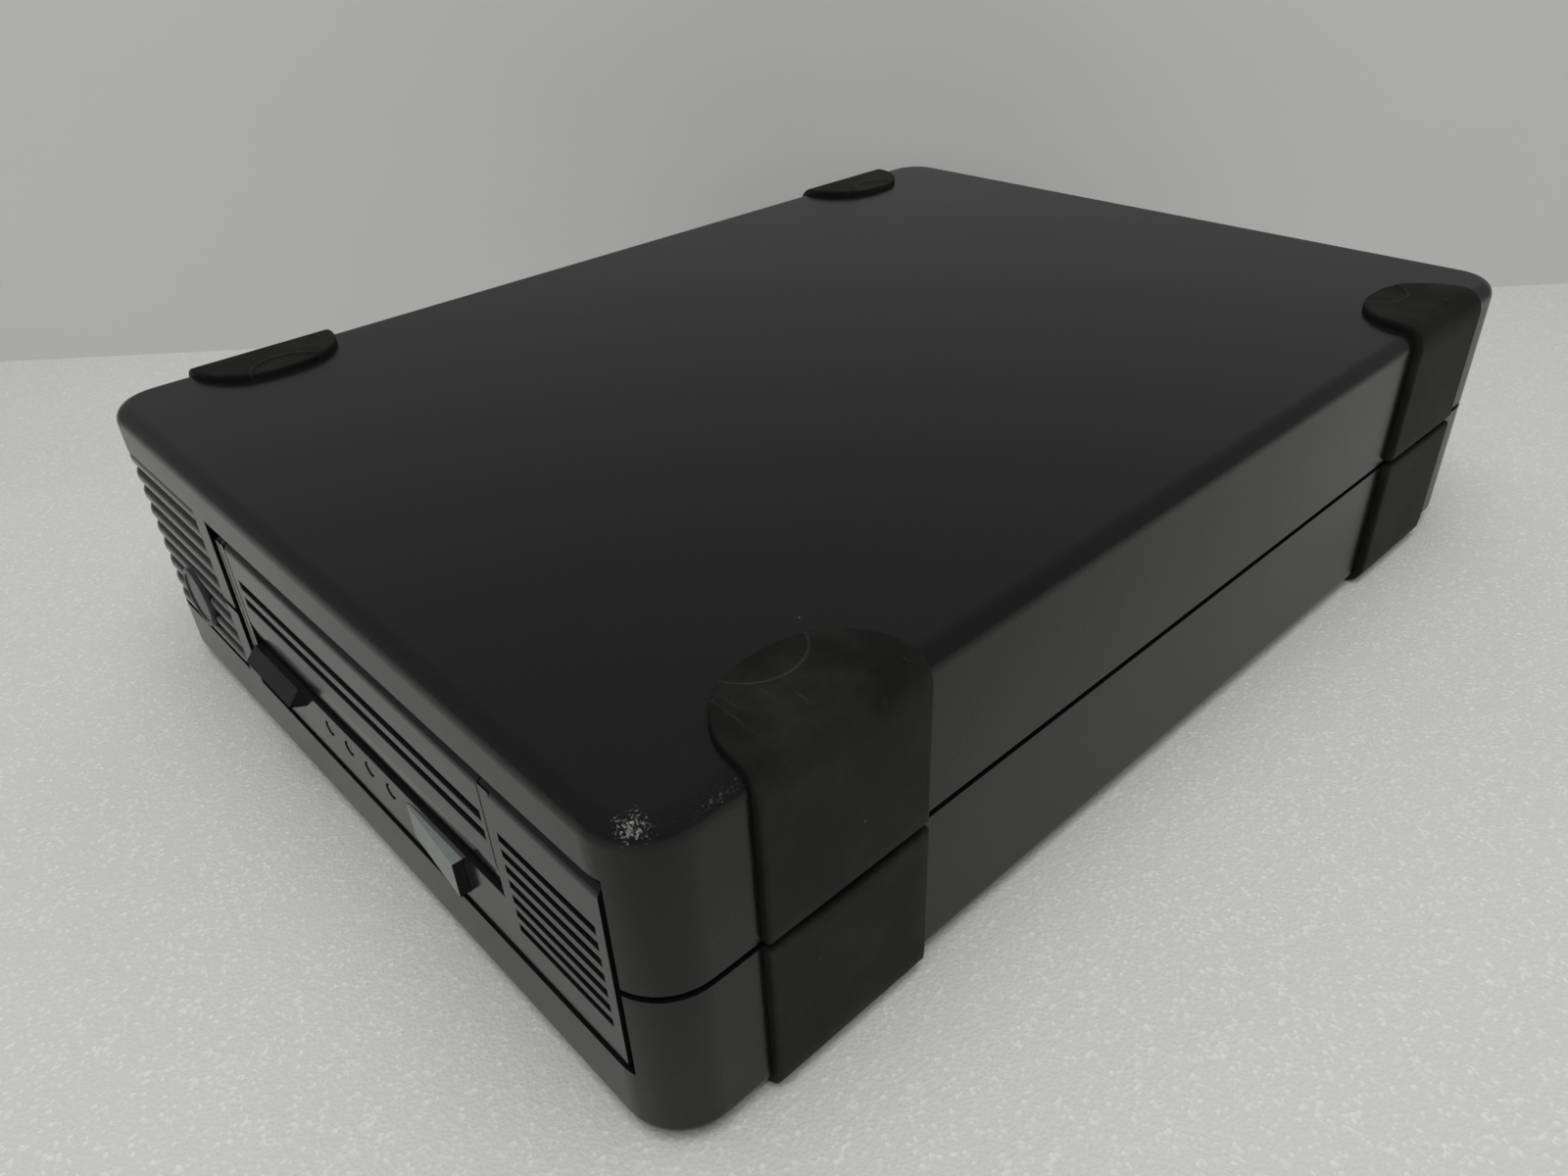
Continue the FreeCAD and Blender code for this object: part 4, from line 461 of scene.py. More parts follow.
# ---------------------------------------------------------------- meshes
FLAT_WITHIN = 1.0           # degrees between faces that are merged into one flat
ROUNDED_OVER = 34.0         # degrees between faces whose shared edge is rounded
WELDED_WITHIN = 1e-6        # points of a CAD mesh that are one point


def smooth_by_angle(mesh, degrees=32.0):
    mesh.shade_smooth()
    mesh.set_sharp_from_angle(angle=math.radians(degrees))


def add_piece(mesh, material=None):
    """Puts a mesh in the scene under its own name."""
    piece = bpy.data.objects.new(mesh.name, mesh)
    bpy.context.scene.collection.objects.link(piece)
    if material is not None:
        mesh.materials.clear()
        mesh.materials.append(material)
    return piece


def mesh_from(name, points, faces):
    """Closed mesh with its faces turned outwards."""
    mesh = bpy.data.meshes.new(name)
    mesh.from_pydata([tuple(p) for p in points], [], faces)
    work = bmesh.new()
    work.from_mesh(mesh)
    bmesh.ops.remove_doubles(work, verts=work.verts, dist=1e-7)
    bmesh.ops.recalc_face_normals(work, faces=work.faces)
    work.to_mesh(mesh)
    work.free()
    smooth_by_angle(mesh)
    return mesh


def swept(sections):
    """Points and faces of a closed bar through equal sections, capped at both ends."""
    size = len(sections[0])
    points = [p for section in sections for p in section]
    faces = []
    for row in range(len(sections) - 1):
        for i in range(size):
            a = row * size + i
            b = row * size + (i + 1) % size
            faces.append((a, b, b + size, a + size))
    last = (len(sections) - 1) * size
    faces.append(tuple(range(size))[::-1])
    faces.append(tuple(last + i for i in range(size)))
    return points, faces


def turned(outline, centre, axis, steps):
    """Points and faces of a piece turned round an axis; the outline is (radius, height along the axis)."""
    across = axis.orthogonal().normalized()
    beside = axis.cross(across)
    sections = []
    for i in range(steps):
        angle = 2 * math.pi * i / steps
        out = across * math.cos(angle) + beside * math.sin(angle)
        sections.append([centre + out * r + axis * h for r, h in outline])
    size = len(outline)
    points = [p for section in sections for p in section]
    faces = []
    for row in range(steps):
        after = (row + 1) % steps
        for i in range(size - 1):
            faces.append((row * size + i, row * size + i + 1, after * size + i + 1, after * size + i))
    return points, faces


def baked(holder, name):
    """Plain mesh of an object with its modifiers worked in; the holder is then removed."""
    bpy.context.view_layer.update()
    graph = bpy.context.evaluated_depsgraph_get()
    mesh = bpy.data.meshes.new_from_object(holder.evaluated_get(graph))
    mesh.name = name
    bpy.data.objects.remove(holder)
    return mesh


def softened(node, width, segments=2, reshape=None):
    """Copy of a CAD node with its sharp edges rounded, as a mould or a press leaves them."""
    mesh = NODES[node].data.copy()
    if reshape:
        for vertex in mesh.vertices:
            vertex.co = reshape(vertex.co)
    work = bmesh.new()
    work.from_mesh(mesh)
    bmesh.ops.remove_doubles(work, verts=work.verts, dist=WELDED_WITHIN)
    bmesh.ops.dissolve_limit(work, angle_limit=math.radians(FLAT_WITHIN), verts=work.verts, edges=work.edges)
    work.to_mesh(mesh)
    work.free()
    if "custom_normal" in mesh.attributes:
        mesh.attributes.remove(mesh.attributes["custom_normal"])
    smooth_by_angle(mesh, 180.0)
    holder = bpy.data.objects.new("holder", mesh)
    bpy.context.scene.collection.objects.link(holder)
    bevel = holder.modifiers.new("Rounded edges", "BEVEL")
    bevel.width = width * MM
    bevel.segments = segments
    bevel.limit_method = "ANGLE"
    bevel.angle_limit = math.radians(ROUNDED_OVER)
    bevel.use_clamp_overlap = True
    # Large flats keep their own normals, so that only the roundings shade round.
    weighted = holder.modifiers.new("Flat faces stay flat", "WEIGHTED_NORMAL")
    weighted.weight = 100
    weighted.keep_sharp = True
    return baked(holder, node + "_shown")


def show_in_place(mesh, node, body, material):
    """Shows a mesh in place of a CAD node, on the same body and finish slot."""
    piece = add_piece(mesh, material)
    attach(piece, body)
    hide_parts(node)
    return piece


def show_softened(node, body, material, width, segments=2, reshape=None):
    """Shows a softened copy of a CAD node in its place."""
    return show_in_place(softened(node, width, segments, reshape), node, body, material)


def dress(material, *nodes):
    """Gives CAD nodes their finish."""
    for node in nodes:
        for slot in NODES[node].material_slots:
            slot.material = material


# ---------------------------------------------------------------- repeats
def open_tree(name, sockets):
    """Geometry Nodes tree with a geometry in and out and further named inputs."""
    tree = bpy.data.node_groups.new(name, "GeometryNodeTree")
    tree.interface.new_socket("Geometry", in_out="INPUT", socket_type="NodeSocketGeometry")
    tree.interface.new_socket("Geometry", in_out="OUTPUT", socket_type="NodeSocketGeometry")
    for label, kind in sockets:
        tree.interface.new_socket(label, in_out="INPUT", socket_type=kind)
    return tree, tree.nodes.new("NodeGroupInput").outputs


def close_tree(tree, instances, material):
    """Turns the instances into real faces with their material."""
    real = add_node(tree, "GeometryNodeRealizeInstances", {"Geometry": instances})
    finished = add_node(tree, "GeometryNodeSetMaterial", {"Geometry": real.outputs["Geometry"],
                                                          "Material": material})
    add_node(tree, "NodeGroupOutput", {"Geometry": finished.outputs["Geometry"]})
    return tree


def row_tree():
    """Copies of the geometry in a straight row."""
    tree, given = open_tree("Row of copies", [("Count", "NodeSocketInt"), ("Step", "NodeSocketVector"),
                                              ("Material", "NodeSocketMaterial")])
    places = add_node(tree, "GeometryNodeMeshLine", {"Count": given["Count"], "Offset": given["Step"]})
    copies = add_node(tree, "GeometryNodeInstanceOnPoints", {"Points": places.outputs["Mesh"],
                                                             "Instance": given["Geometry"]})
    return close_tree(tree, copies.outputs["Instances"], given["Material"])


def wheel_tree():
    """Copies of the geometry turned evenly round the Y axis through a centre."""
    tree, given = open_tree("Wheel of copies", [("Count", "NodeSocketInt"), ("Centre", "NodeSocketVector"),
                                                ("Material", "NodeSocketMaterial")])
    places = add_node(tree, "GeometryNodeMeshLine", {
        "Count": given["Count"], "Start Location": given["Centre"], "Offset": (0.0, 0.0, 0.0)})
    index = add_node(tree, "GeometryNodeInputIndex")
    share = maths(tree, "DIVIDE", index.outputs["Index"], given["Count"])
    turn = add_node(tree, "ShaderNodeCombineXYZ", {"Y": maths(tree, "MULTIPLY", share, 2 * math.pi)})
    copies = add_node(tree, "GeometryNodeInstanceOnPoints", {"Points": places.outputs["Mesh"],
                                                             "Instance": given["Geometry"],
                                                             "Rotation": turn.outputs["Vector"]})
    return close_tree(tree, copies.outputs["Instances"], given["Material"])


def points_tree():
    """A copy of another object at each point of the geometry."""
    tree, given = open_tree("Copies at points", [("Part", "NodeSocketObject"),
                                                 ("Material", "NodeSocketMaterial")])
    part = add_node(tree, "GeometryNodeObjectInfo", {"Object": given["Part"]})
    copies = add_node(tree, "GeometryNodeInstanceOnPoints", {"Points": given["Geometry"],
                                                             "Instance": part.outputs["Geometry"]})
    return close_tree(tree, copies.outputs["Instances"], given["Material"])


def repeated(mesh, tree, name, **values):
    """Runs a tree on a mesh and returns the plain result."""
    holder = bpy.data.objects.new("holder", mesh)
    bpy.context.scene.collection.objects.link(holder)
    modifier = holder.modifiers.new("Copies", "NODES")
    modifier.node_group = tree
    for item in tree.interface.items_tree:
        if item.in_out == "INPUT" and item.name in values:
            modifier[item.identifier] = values[item.name]
    result = baked(holder, name)
    if not result.polygons:
        raise RuntimeError(name + " came out empty")
    smooth_by_angle(result)
    return result


# ---------------------------------------------------------------- pieces
def blade_section(sizes, height):
    """Section of a grille blade as (depth behind the face, height from its middle)."""
    # The nose is held just short of a full round, so that its two quarters never meet in one point.
    radius = min(sizes.nose_radius, height / 2 * 0.98)
    outline = [(sizes.blade_depth, -height / 2)]
    for side in (-1, 1):
        turns = range(90, -1, -10) if side < 0 else range(0, 91, 10)
        for degrees in turns:
            angle = math.radians(degrees)
            depth = radius * (1 - math.cos(angle))
            outline.append((depth, side * (height / 2 - radius + radius * math.sin(angle))))
    outline.append((sizes.blade_depth, height / 2))
    return outline


def grille_path(sizes, right, back):
    """Stations along the case's face: a point on it and the direction into the case."""
    radius = sizes.corner_radius
    centre = Vector((-SIDE + radius, FRONT + radius, 0))
    path = [(Vector((right, FRONT, 0)), Y_AXIS)]
    steps = 16
    for i in range(steps + 1):
        angle = math.radians(90 * i / steps)
        inward = Vector((math.sin(angle), math.cos(angle), 0))
        path.append((centre - inward * radius, inward))
    path.append((Vector((-SIDE, back, 0)), Vector((1, 0, 0))))
    return path


def bars_along(path, section, z):
    """Points and faces of a bar with that section, carried along a path at the height z."""
    return swept([[point + inward * depth + Vector((0, 0, z + height)) for depth, height in section]
                  for point, inward in path])


def tighter_roof_edge(sizes):
    """Way to move a point of the upper shell's top rounding on to a tighter one; other points stay."""
    full = sizes.roof_radius
    tight = sizes.shown_roof_radius
    corner = sizes.corner_radius
    tolerance = 0.03 * MM

    def moved(point):
        rise = point.z - (ROOF - full)
        core = Vector((max(corner - SIDE, min(SIDE - corner, point.x)),
                       max(FRONT + corner, min(BACK - corner, point.y)), 0))
        out = Vector((point.x, point.y, 0)) - core
        spread = out.length - (corner - full)
        if rise < -tolerance or spread < -tolerance or abs(math.hypot(spread, rise) - full) > tolerance:
            return point
        angle = math.atan2(rise, spread)
        out.length = corner - tight + tight * math.cos(angle)
        return core + out + Vector((0, 0, ROOF - tight + tight * math.sin(angle)))

    return moved


class TAPEDRIVE_OT_case(bpy.types.Operator):
    """Finish the two shells of the case"""

    bl_idname = "tapedrive.case"
    bl_label = "Case shells"

    def execute(self, context):
        finishes = context.scene.tape_drive_finishes
        sizes = context.scene.tape_drive_sizes
        # The front right corner is chipped. The fainter pale band along the edge behind it is a painted
        # highlight of the light on the rounding's grain. The middle of each mark lies on the rounding, and
        # its reach is given along the three axes.
        near = sizes.corner_radius * 0.42
        low = sizes.shown_roof_radius * 0.3
        front_corner = (SIDE - near, FRONT + near, ROOF - low)
        # This edge's mark is a painted highlight along the top of the rounding.
        edge = (SIDE - low, FRONT + 17 * MM, ROOF - low)
        marking = [(front_corner, (4.5 * MM, 4.5 * MM, 3.5 * MM), 0.7),
                (edge, (2.4 * MM, 12 * MM, 2.4 * MM), 0.22)]
        upper = spark_eroded_abs("ABS, spark-eroded, upper shell", finishes.case_colour, wear_and_highlight_places=marking)
        lower = spark_eroded_abs("ABS, spark-eroded, lower shell", finishes.case_colour)
        show_softened("upper_shell", "unit", upper, 0.5, reshape=tighter_roof_edge(sizes))
        show_softened("lower_shell", "unit", lower, 0.5)
        return {"FINISHED"}


class TAPEDRIVE_OT_grille(bpy.types.Operator):
    """Build the grille insert: round-nosed blades that turn the corner, and the posts behind them"""

    bl_idname = "tapedrive.grille"
    bl_label = "Front grille"

    def execute(self, context):
        sizes = context.scene.tape_drive_sizes
        low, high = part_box("front_grille")
        finish = satin_abs("ABS, satin, grille", context.scene.tape_drive_finishes.grille_colour)
        pitch = (high.z - low.z + sizes.blade_gap) / sizes.blade_count
        height = pitch - sizes.blade_gap
        path = grille_path(sizes, high.x, high.y)
        blade = mesh_from("blade", *bars_along(path, blade_section(sizes, height), low.z + height / 2))
        blades = repeated(blade, row_tree(), "blades", Count=sizes.blade_count, Step=(0.0, 0.0, pitch),
                          Material=finish)
        # A comb of posts behind the noses ties the blades together.
        front = sizes.blade_depth * 0.62
        back = sizes.blade_depth * 1.08
        post = [(front, 0.0), (front, high.z - low.z), (back, high.z - low.z), (back, 0.0)]
        work = bmesh.new()
        work.from_mesh(blades)
        post_pitch = (high.x + SIDE - sizes.corner_radius) / (sizes.post_count - 1)
        for i in range(sizes.post_count):
            x = high.x - i * post_pitch
            ends = [(Vector((edge, FRONT, 0)), Y_AXIS) for edge in (x - sizes.post_width, x)]
            part = mesh_from("post", *bars_along(ends, post, low.z))
            work.from_mesh(part)
        work.to_mesh(blades)
        work.free()
        blades.name = "grille_insert"
        show_in_place(blades, "front_grille", "unit", finish)
        return {"FINISHED"}


class TAPEDRIVE_OT_badge(bpy.types.Operator):
    """Build the blank round badge: a raised rim round a slightly domed field"""

    bl_idname = "tapedrive.badge"
    bl_label = "Round badge"

    def execute(self, context):
        low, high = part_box("grille_badge")
        radius = (high.x - low.x) / 2
        centre = Vector(((low.x + high.x) / 2, 0, (low.z + high.z) / 2))
        front = low.y
        # From the middle of the field to the foot of the rim, then over the rim: shares of the radius, and
        # depths behind the front.
        field = [(0.0, 0.25), (0.45, 0.3), (0.78, 0.5)]
        rim = [(0.81, 0.45), (0.83, 0.12), (0.86, 0.0), (0.92, 0.02), (0.965, 0.2), (1.0, 0.75)]
        outline = [(radius * share, front + depth * MM) for share, depth in field + rim]
        outline += [(radius, high.y), (0.0, high.y)]
        mesh = mesh_from("badge", *turned(outline, centre, Y_AXIS, 96))
        finish = satin_abs("ABS, satin, badge", linear("#2B2C2D"), 0.3, 0.05)
        show_in_place(mesh, "grille_badge", "unit", finish)
        return {"FINISHED"}


class CornerPiece:
    """One half of a rubber corner piece. Its run starts at the parting, goes along the side and round the
    case's edge, and ends at the tip of its tongue, which lies on the roof or under the floor. The upper
    halves have a dish in the tongue."""

    rim_steps = (0.0, 0.2, 0.5, 1.0)    # across the rounded rim, as shares of its radius
    dished_spacing = 0.25 * MM          # between the points of an upper half
    plain_spacing = 1.5 * MM            # between the rows of a foot
    plain_columns = 24
    widest_spacing = 2.5 * MM           # between the rows on the flat side
    dish_slope = 0.14 * MM              # how softly the dish's wall goes down
    lip_width = 0.3 * MM

    def __init__(self, node, sizes, upper):
        self.sizes = sizes
        self.upper = upper
        self.low, self.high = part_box(node)
        self.side = 1 if self.high.x > 0 else -1
        self.up = 1 if upper else -1
        self.flat = ROOF if upper else SHELL_FLOOR
        self.parting = self.low.z if upper else self.high.z
        self.edge_radius = sizes.shown_roof_radius if upper else sizes.floor_radius
        self.thick = sizes.rubber_thickness - (sizes.dish_lip if upper else 0.0)
        self.wall_run = abs(self.flat - self.parting) - self.edge_radius
        self.bend_run = math.pi / 2 * self.edge_radius
        reach = min(abs(self.low.x), abs(self.high.x))
        roof_run = SIDE - reach - self.edge_radius
        self.total = self.wall_run + self.bend_run + roof_run

    def place(self, s):
        """Point on the case and the way out of it, at a distance s along the run."""
        if s <= self.wall_run:
            return SIDE, self.parting + self.up * s, 1.0, 0.0
        on_bend = s < self.wall_run + self.bend_run
        turn = min((s - self.wall_run) / self.edge_radius, math.pi / 2) if on_bend else math.pi / 2
        x = SIDE - self.edge_radius + self.edge_radius * math.cos(turn)
        z = self.flat - self.up * self.edge_radius + self.up * self.edge_radius * math.sin(turn)
        if s > self.wall_run + self.bend_run:
            x = x - (s - self.wall_run - self.bend_run)
        return x, z, math.cos(turn), self.up * math.sin(turn)

    def inset(self, s):
        """How far the rounded end has drawn in from the full width."""
        round_end = self.sizes.tongue_radius
        left = self.total - s
        if left >= round_end:
            return 0.0
        return round_end - math.sqrt(max(0.0, round_end ** 2 - (round_end - left) ** 2))

    def border(self, s, y):
        """Distance to the nearest edge of the piece."""
        round_end = self.sizes.tongue_radius
        from_side = min(y - self.low.y, self.high.y - y)
        left = self.total - s
        if left < round_end and from_side < round_end:
            corner = math.hypot(round_end - left, round_end - from_side)
            return max(0.0, min(round_end - corner, s))
        return max(0.0, min(from_side, left, s))

    def height(self, s, y):
        """How far the rubber stands off the case, with its rounded rim and its dish."""
        sizes = self.sizes
        rim = sizes.rubber_rim
        edge = min(self.border(s, y), rim)
        stand = self.thick - rim + math.sqrt(max(0.0, rim ** 2 - (rim - edge) ** 2))
        if self.upper:
            middle = (self.low.y + self.high.y) / 2
            away = math.hypot(self.total + sizes.dish_offset - s, y - middle)
            inside = 1 / (1 + math.exp((away - sizes.dish_radius) / self.dish_slope))
            lip = math.exp(-((away - sizes.dish_radius - sizes.lip_offset) / self.lip_width) ** 2)
            stand += (sizes.dish_lip * lip - sizes.dish_depth * inside) * min(1.0, edge / rim)
        return stand

    def rows(self):
        """Distances along the run that get a row of points: close on the bend and tongue, else wide."""
        rim = self.sizes.rubber_rim
        spacing = self.dished_spacing if self.upper else self.plain_spacing
        rows = [rim * k for k in self.rim_steps]
        s = rim
        while s < self.total - rim - spacing:
            if s > self.wall_run + self.bend_run * 0.4:
                s = s + spacing
            else:
                s = s + min(self.widest_spacing, max(spacing, self.wall_run + 0.3 * self.bend_run - s))
            if s < self.total - rim - spacing * 0.3:
                rows.append(s)
        return rows + [self.total - rim * k for k in reversed(self.rim_steps)]

    def mesh(self, name):
        rim = self.sizes.rubber_rim
        rows = self.rows()
        count = int((self.high.y - self.low.y) / self.dished_spacing) if self.upper else self.plain_columns
        points = []
        for s in rows:
            x, z, out_x, out_z = self.place(s)
            start = self.low.y + self.inset(s)
            width = self.high.y - self.inset(s) - start
            inner_part = [rim + (width - 2 * rim) * i / count for i in range(1, count)]
            across = ([rim * k for k in self.rim_steps] + inner_part
                      + [width - rim * k for k in reversed(self.rim_steps)])
            for offset in across:
                y = start + offset
                stand = self.height(s, y)
                points.append(Vector((self.side * (x + out_x * stand), y, z + out_z * stand)))
            for offset in across:
                points.append(Vector((self.side * x, start + offset, z)))
        columns = count - 1 + 2 * len(self.rim_steps)
        return mesh_from(name, points, wrapped_faces(len(rows), columns))


def wrapped_faces(rows, columns):
    """Faces of a closed pad whose rows each hold the points of its outer side, then of its inner side."""
    stride = 2 * columns
    faces = []
    for row in range(rows - 1):
        a = row * stride
        for i in range(columns - 1):
            inner = a + columns + i
            faces.append((a + i, a + i + 1, a + stride + i + 1, a + stride + i))
            faces.append((inner, inner + stride, inner + stride + 1, inner + 1))
        for i in (0, columns - 1):
            faces.append((a + i, a + stride + i, a + stride + columns + i, a + columns + i))
    for a in (0, (rows - 1) * stride):
        for i in range(columns - 1):
            faces.append((a + i, a + i + 1, a + columns + i + 1, a + columns + i))
    return faces


class TAPEDRIVE_OT_rubber(bpy.types.Operator):
    """Build the eight halves of the rubber corner pieces, with soft rims and a dish in each upper tongue"""

    bl_idname = "tapedrive.rubber"
    bl_label = "Rubber corner pieces"

    def execute(self, context):
        sizes = context.scene.tape_drive_sizes
        colour = context.scene.tape_drive_finishes.rubber_colour
        front_low, front_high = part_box("rubber_upper_front_right")
        rear_low, rear_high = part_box("rubber_upper_rear_right")
        front_middle = (front_low.y + front_high.y) / 2
        rear_middle = (rear_low.y + rear_high.y) / 2
        half_spacing = (front_low.x - sizes.dish_offset, (rear_middle - front_middle) / 2, 0.0)
        middle = (0.0, (front_middle + rear_middle) / 2, 0.0)
        dish = (middle, half_spacing, sizes.dish_radius + sizes.lip_offset)
        finishes = {"upper": moulded_rubber("Thermoplastic rubber, upper halves", colour, dish),
                    "foot": moulded_rubber("Thermoplastic rubber, feet", colour)}
        for end in ("front", "rear"):
            for hand in ("left", "right"):
                for part in ("upper", "foot"):
                    node = f"rubber_{part}_{end}_{hand}"
                    mesh = CornerPiece(node, sizes, part == "upper").mesh(node + "_shown")
                    show_in_place(mesh, node, "unit", finishes[part])
        return {"FINISHED"}


class TAPEDRIVE_OT_bezel(bpy.types.Operator):
    """Finish the drive's front: bezel, tape door and its pin"""

    bl_idname = "tapedrive.bezel"
    bl_label = "Bezel and door"

    def execute(self, context):
        colour = context.scene.tape_drive_finishes.bezel_colour
        show_softened("drive_bezel", "unit", satin_abs("ABS, satin, bezel", colour), 0.22)
        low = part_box("tape_door")[0]
        cove_height = 8.5 * MM
        hollow = 3.0 * MM       # depth of the cove at its foot in the solid
        wall = 1.6 * MM
        shown = 0.4             # share of that depth that is shown

        def filled_cove(point):
            """Brings the front of the door's hollow lower half forward and leaves its back where it is."""
            depth = point.y - low.y
            up = (point.z - low.z) / cove_height
            if up < 1 and depth < hollow * (1 - up) + wall / 2 * (1 + up / 2):
                return Vector((point.x, low.y + depth * shown, point.z))
            return point

        show_softened("tape_door", "door", satin_abs("ABS, satin, door", colour), 0.22, reshape=filled_cove)
        dress(machined_metal("Ground steel, pin", "#A8A9AA"), "door_pin")
        return {"FINISHED"}


class TAPEDRIVE_OT_lights(bpy.types.Operator):
    """Build the four indicator windows with their domed, chamfered ends"""

    bl_idname = "tapedrive.lights"
    bl_label = "Indicator windows"

    def execute(self, context):
        low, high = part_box("light_pipes")
        radius = (high.z - low.z) / 2
        middle_z = (low.z + high.z) / 2
        # Outline from the middle of the domed end over its rim, coloured pale as a painted highlight, into
        # the gap round it, coloured black as a painted shadow.
        outline = [(0.0, low.y), (radius * 0.5, low.y + 0.04 * MM), (radius * 0.7, low.y + 0.12 * MM),
                   (radius * 0.74, low.y + 0.3 * MM), (radius * 0.97, low.y + 0.3 * MM),
                   (radius, low.y + 0.25 * MM), (radius, high.y), (0.0, high.y)]
        count = context.scene.tape_drive_sizes.window_count
        pitch = (high.x - low.x - 2 * radius) / (count - 1)
        start = Vector((low.x + radius, 0, middle_z))
        window = mesh_from("window", *turned(outline, start, Y_AXIS, 48))
        finish = smoked_polycarbonate("Polycarbonate, smoked", "#1C1E1C", start, pitch, radius)
        mesh = repeated(window, row_tree(), "indicator_windows", Count=count, Step=(pitch, 0.0, 0.0),
                        Material=finish)
        show_in_place(mesh, "light_pipes", "unit", finish)
        return {"FINISHED"}


class TAPEDRIVE_OT_button(bpy.types.Operator):
    """Finish the eject button"""

    bl_idname = "tapedrive.button"
    bl_label = "Eject button"

    def execute(self, context):
        finish = painted_button("ABS, silver-grey lacquer", context.scene.tape_drive_finishes.button_colour)
        show_softened("eject_button", "button", finish, 0.45, segments=3)
        return {"FINISHED"}


class TAPEDRIVE_OT_rear(bpy.types.Operator):
    """Finish the rear panel and its inlet, power switch and data port"""

    bl_idname = "tapedrive.rear"
    bl_label = "Rear panel"

    def execute(self, context):
        nylon = glass_filled_nylon("Nylon, glass-filled, fittings", "#161617")
        dress(powder_coat("Powder coat on steel, panel", "#1C1D1E"), "rear_panel")
        polished = glass_filled_nylon("Nylon, polished, rocker", "#121213", 0.25)
        nickel = plated_steel("Nickel plate, port cage", "#B4B2AC", 0.25, 20.0)
        show_softened("power_inlet", "unit", nylon, 0.35)
        show_softened("switch_frame", "unit", nylon, 0.3)
        show_softened("switch_rocker", "rocker", polished, 0.35)
        show_softened("data_connector", "unit", nickel, 0.15)
        dress(machined_metal("Nickel plate on brass, blades", "#BDB49A", 0.22), "inlet_blades")
        return {"FINISHED"}


def fan_blade(centre, hub, tip, front, back):
    """One curved and twisted blade, round the Y axis through the centre."""
    steps = 8
    root = hub * 0.97                   # just inside the hub
    root_pitch = 50                     # degrees
    twist = 22                          # degrees of pitch lost by the tip
    filled = 0.94                       # share of the rotor's depth that the blades take up
    rise = 0.9 * MM                     # of the curved middle over the chord
    half_thickness = 0.55 * MM
    edge_thickness = 0.08 * MM
    sections = []
    for i in range(steps + 1):
        share = i / steps
        radius = root + (tip - root) * share
        pitch = math.radians(root_pitch - twist * share)
        half = (back - front) / 2 * filled / math.sin(pitch)
        section = []
        for side in (1, -1):
            for k in range(steps + 1):
                t = (k / steps * 2 - 1) * side
                camber = (1 - t * t) * rise
                body = half_thickness * math.sqrt(max(0.0, 1 - t * t)) + edge_thickness
                along = t * half
                lift = camber + side * body
                y = (front + back) / 2 + along * math.sin(pitch) + lift * math.cos(pitch)
                arc = (along * math.cos(pitch) - lift * math.sin(pitch)) / radius
                section.append(Vector((radius * math.cos(arc), y - centre.y, radius * math.sin(arc))))
        sections.append(section)
    return swept(sections)


class TAPEDRIVE_OT_fan(bpy.types.Operator):
    """Finish the fan's frame and build its rotor: a hub with a wheel of curved blades"""

    bl_idname = "tapedrive.fan"
    bl_label = "Fan"

    def execute(self, context):
        sizes = context.scene.tape_drive_sizes
        low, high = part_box("fan_rotor")
        frame_low, frame_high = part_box("fan_frame")
        nylon = glass_filled_nylon("Polyester, glass-filled, fan", "#131314", 0.42)
        dress(nylon, "fan_frame")
        centre = Vector(((frame_low.x + frame_high.x) / 2, (low.y + high.y) / 2,
                         (frame_low.z + frame_high.z) / 2))
        # The blades stop just short of the solid rotor's box, and the hub is half as wide as they reach.
        tip = min(high.x - centre.x, centre.x - low.x, high.z - centre.z) * 0.995
        hub = tip * 0.5
        blade = mesh_from("fan_blade", *fan_blade(centre, hub, tip, low.y, high.y))
        wheel = repeated(blade, wheel_tree(), "fan_wheel", Count=sizes.fan_blades, Centre=centre,
                         Material=nylon)
        bore = 1.7 * MM
        outline = [(bore, low.y), (hub * 0.9, low.y), (hub * 0.97, low.y + 0.3 * MM), (hub, low.y + 1.0 * MM),
                   (hub, high.y), (bore, high.y), (bore, low.y)]
        points, faces = turned([(r, y - centre.y) for r, y in outline], centre, Y_AXIS, 64)
        work = bmesh.new()
        work.from_mesh(wheel)
        work.from_mesh(mesh_from("hub", points, faces))
        work.to_mesh(wheel)
        work.free()
        show_in_place(wheel, "fan_rotor", "rotor", nylon)
        return {"FINISHED"}


def screw_part(radius, head, length, material):
    """Pan-head screw along +Z with a cross recess; its head's underside is at the origin."""
    shank = radius * 0.55
    dome = [(0.0, -head), (radius * 0.45, -head * 0.98), (radius * 0.8, -head * 0.82),
            (radius * 0.97, -head * 0.45), (radius, -head * 0.15), (radius * 0.97, 0.0)]
    outline = dome + [(shank, 0.0), (shank, length * 0.94), (shank * 0.7, length), (0.0, length)]
    body = add_piece(mesh_from("screw_body", *turned(outline, Vector(), Z_AXIS, 40)))
    arm = radius * 0.62
    half = radius * 0.15
    cross = [(arm, -half), (arm, half), (half, half), (half, arm), (-half, arm), (-half, half), (-arm, half),
             (-arm, -half), (-half, -half), (-half, -arm), (half, -arm), (half, -half)]
    # The recess narrows from just above the head to most of the way through it.
    levels = ((1.05, -head * 1.2), (0.7, -head * 0.3))
    sections = [[Vector((x * k, y * k, z)) for x, y in cross] for k, z in levels]
    cutter = add_piece(mesh_from("screw_cross", *swept(sections)))
    cut = body.modifiers.new("Cross recess", "BOOLEAN")
    cut.object = cutter
    cut.solver = "EXACT"
    mesh = baked(body, "screw")
    bpy.data.objects.remove(cutter)
    smooth_by_angle(mesh)
    mesh.materials.clear()
    mesh.materials.append(material)
    return mesh


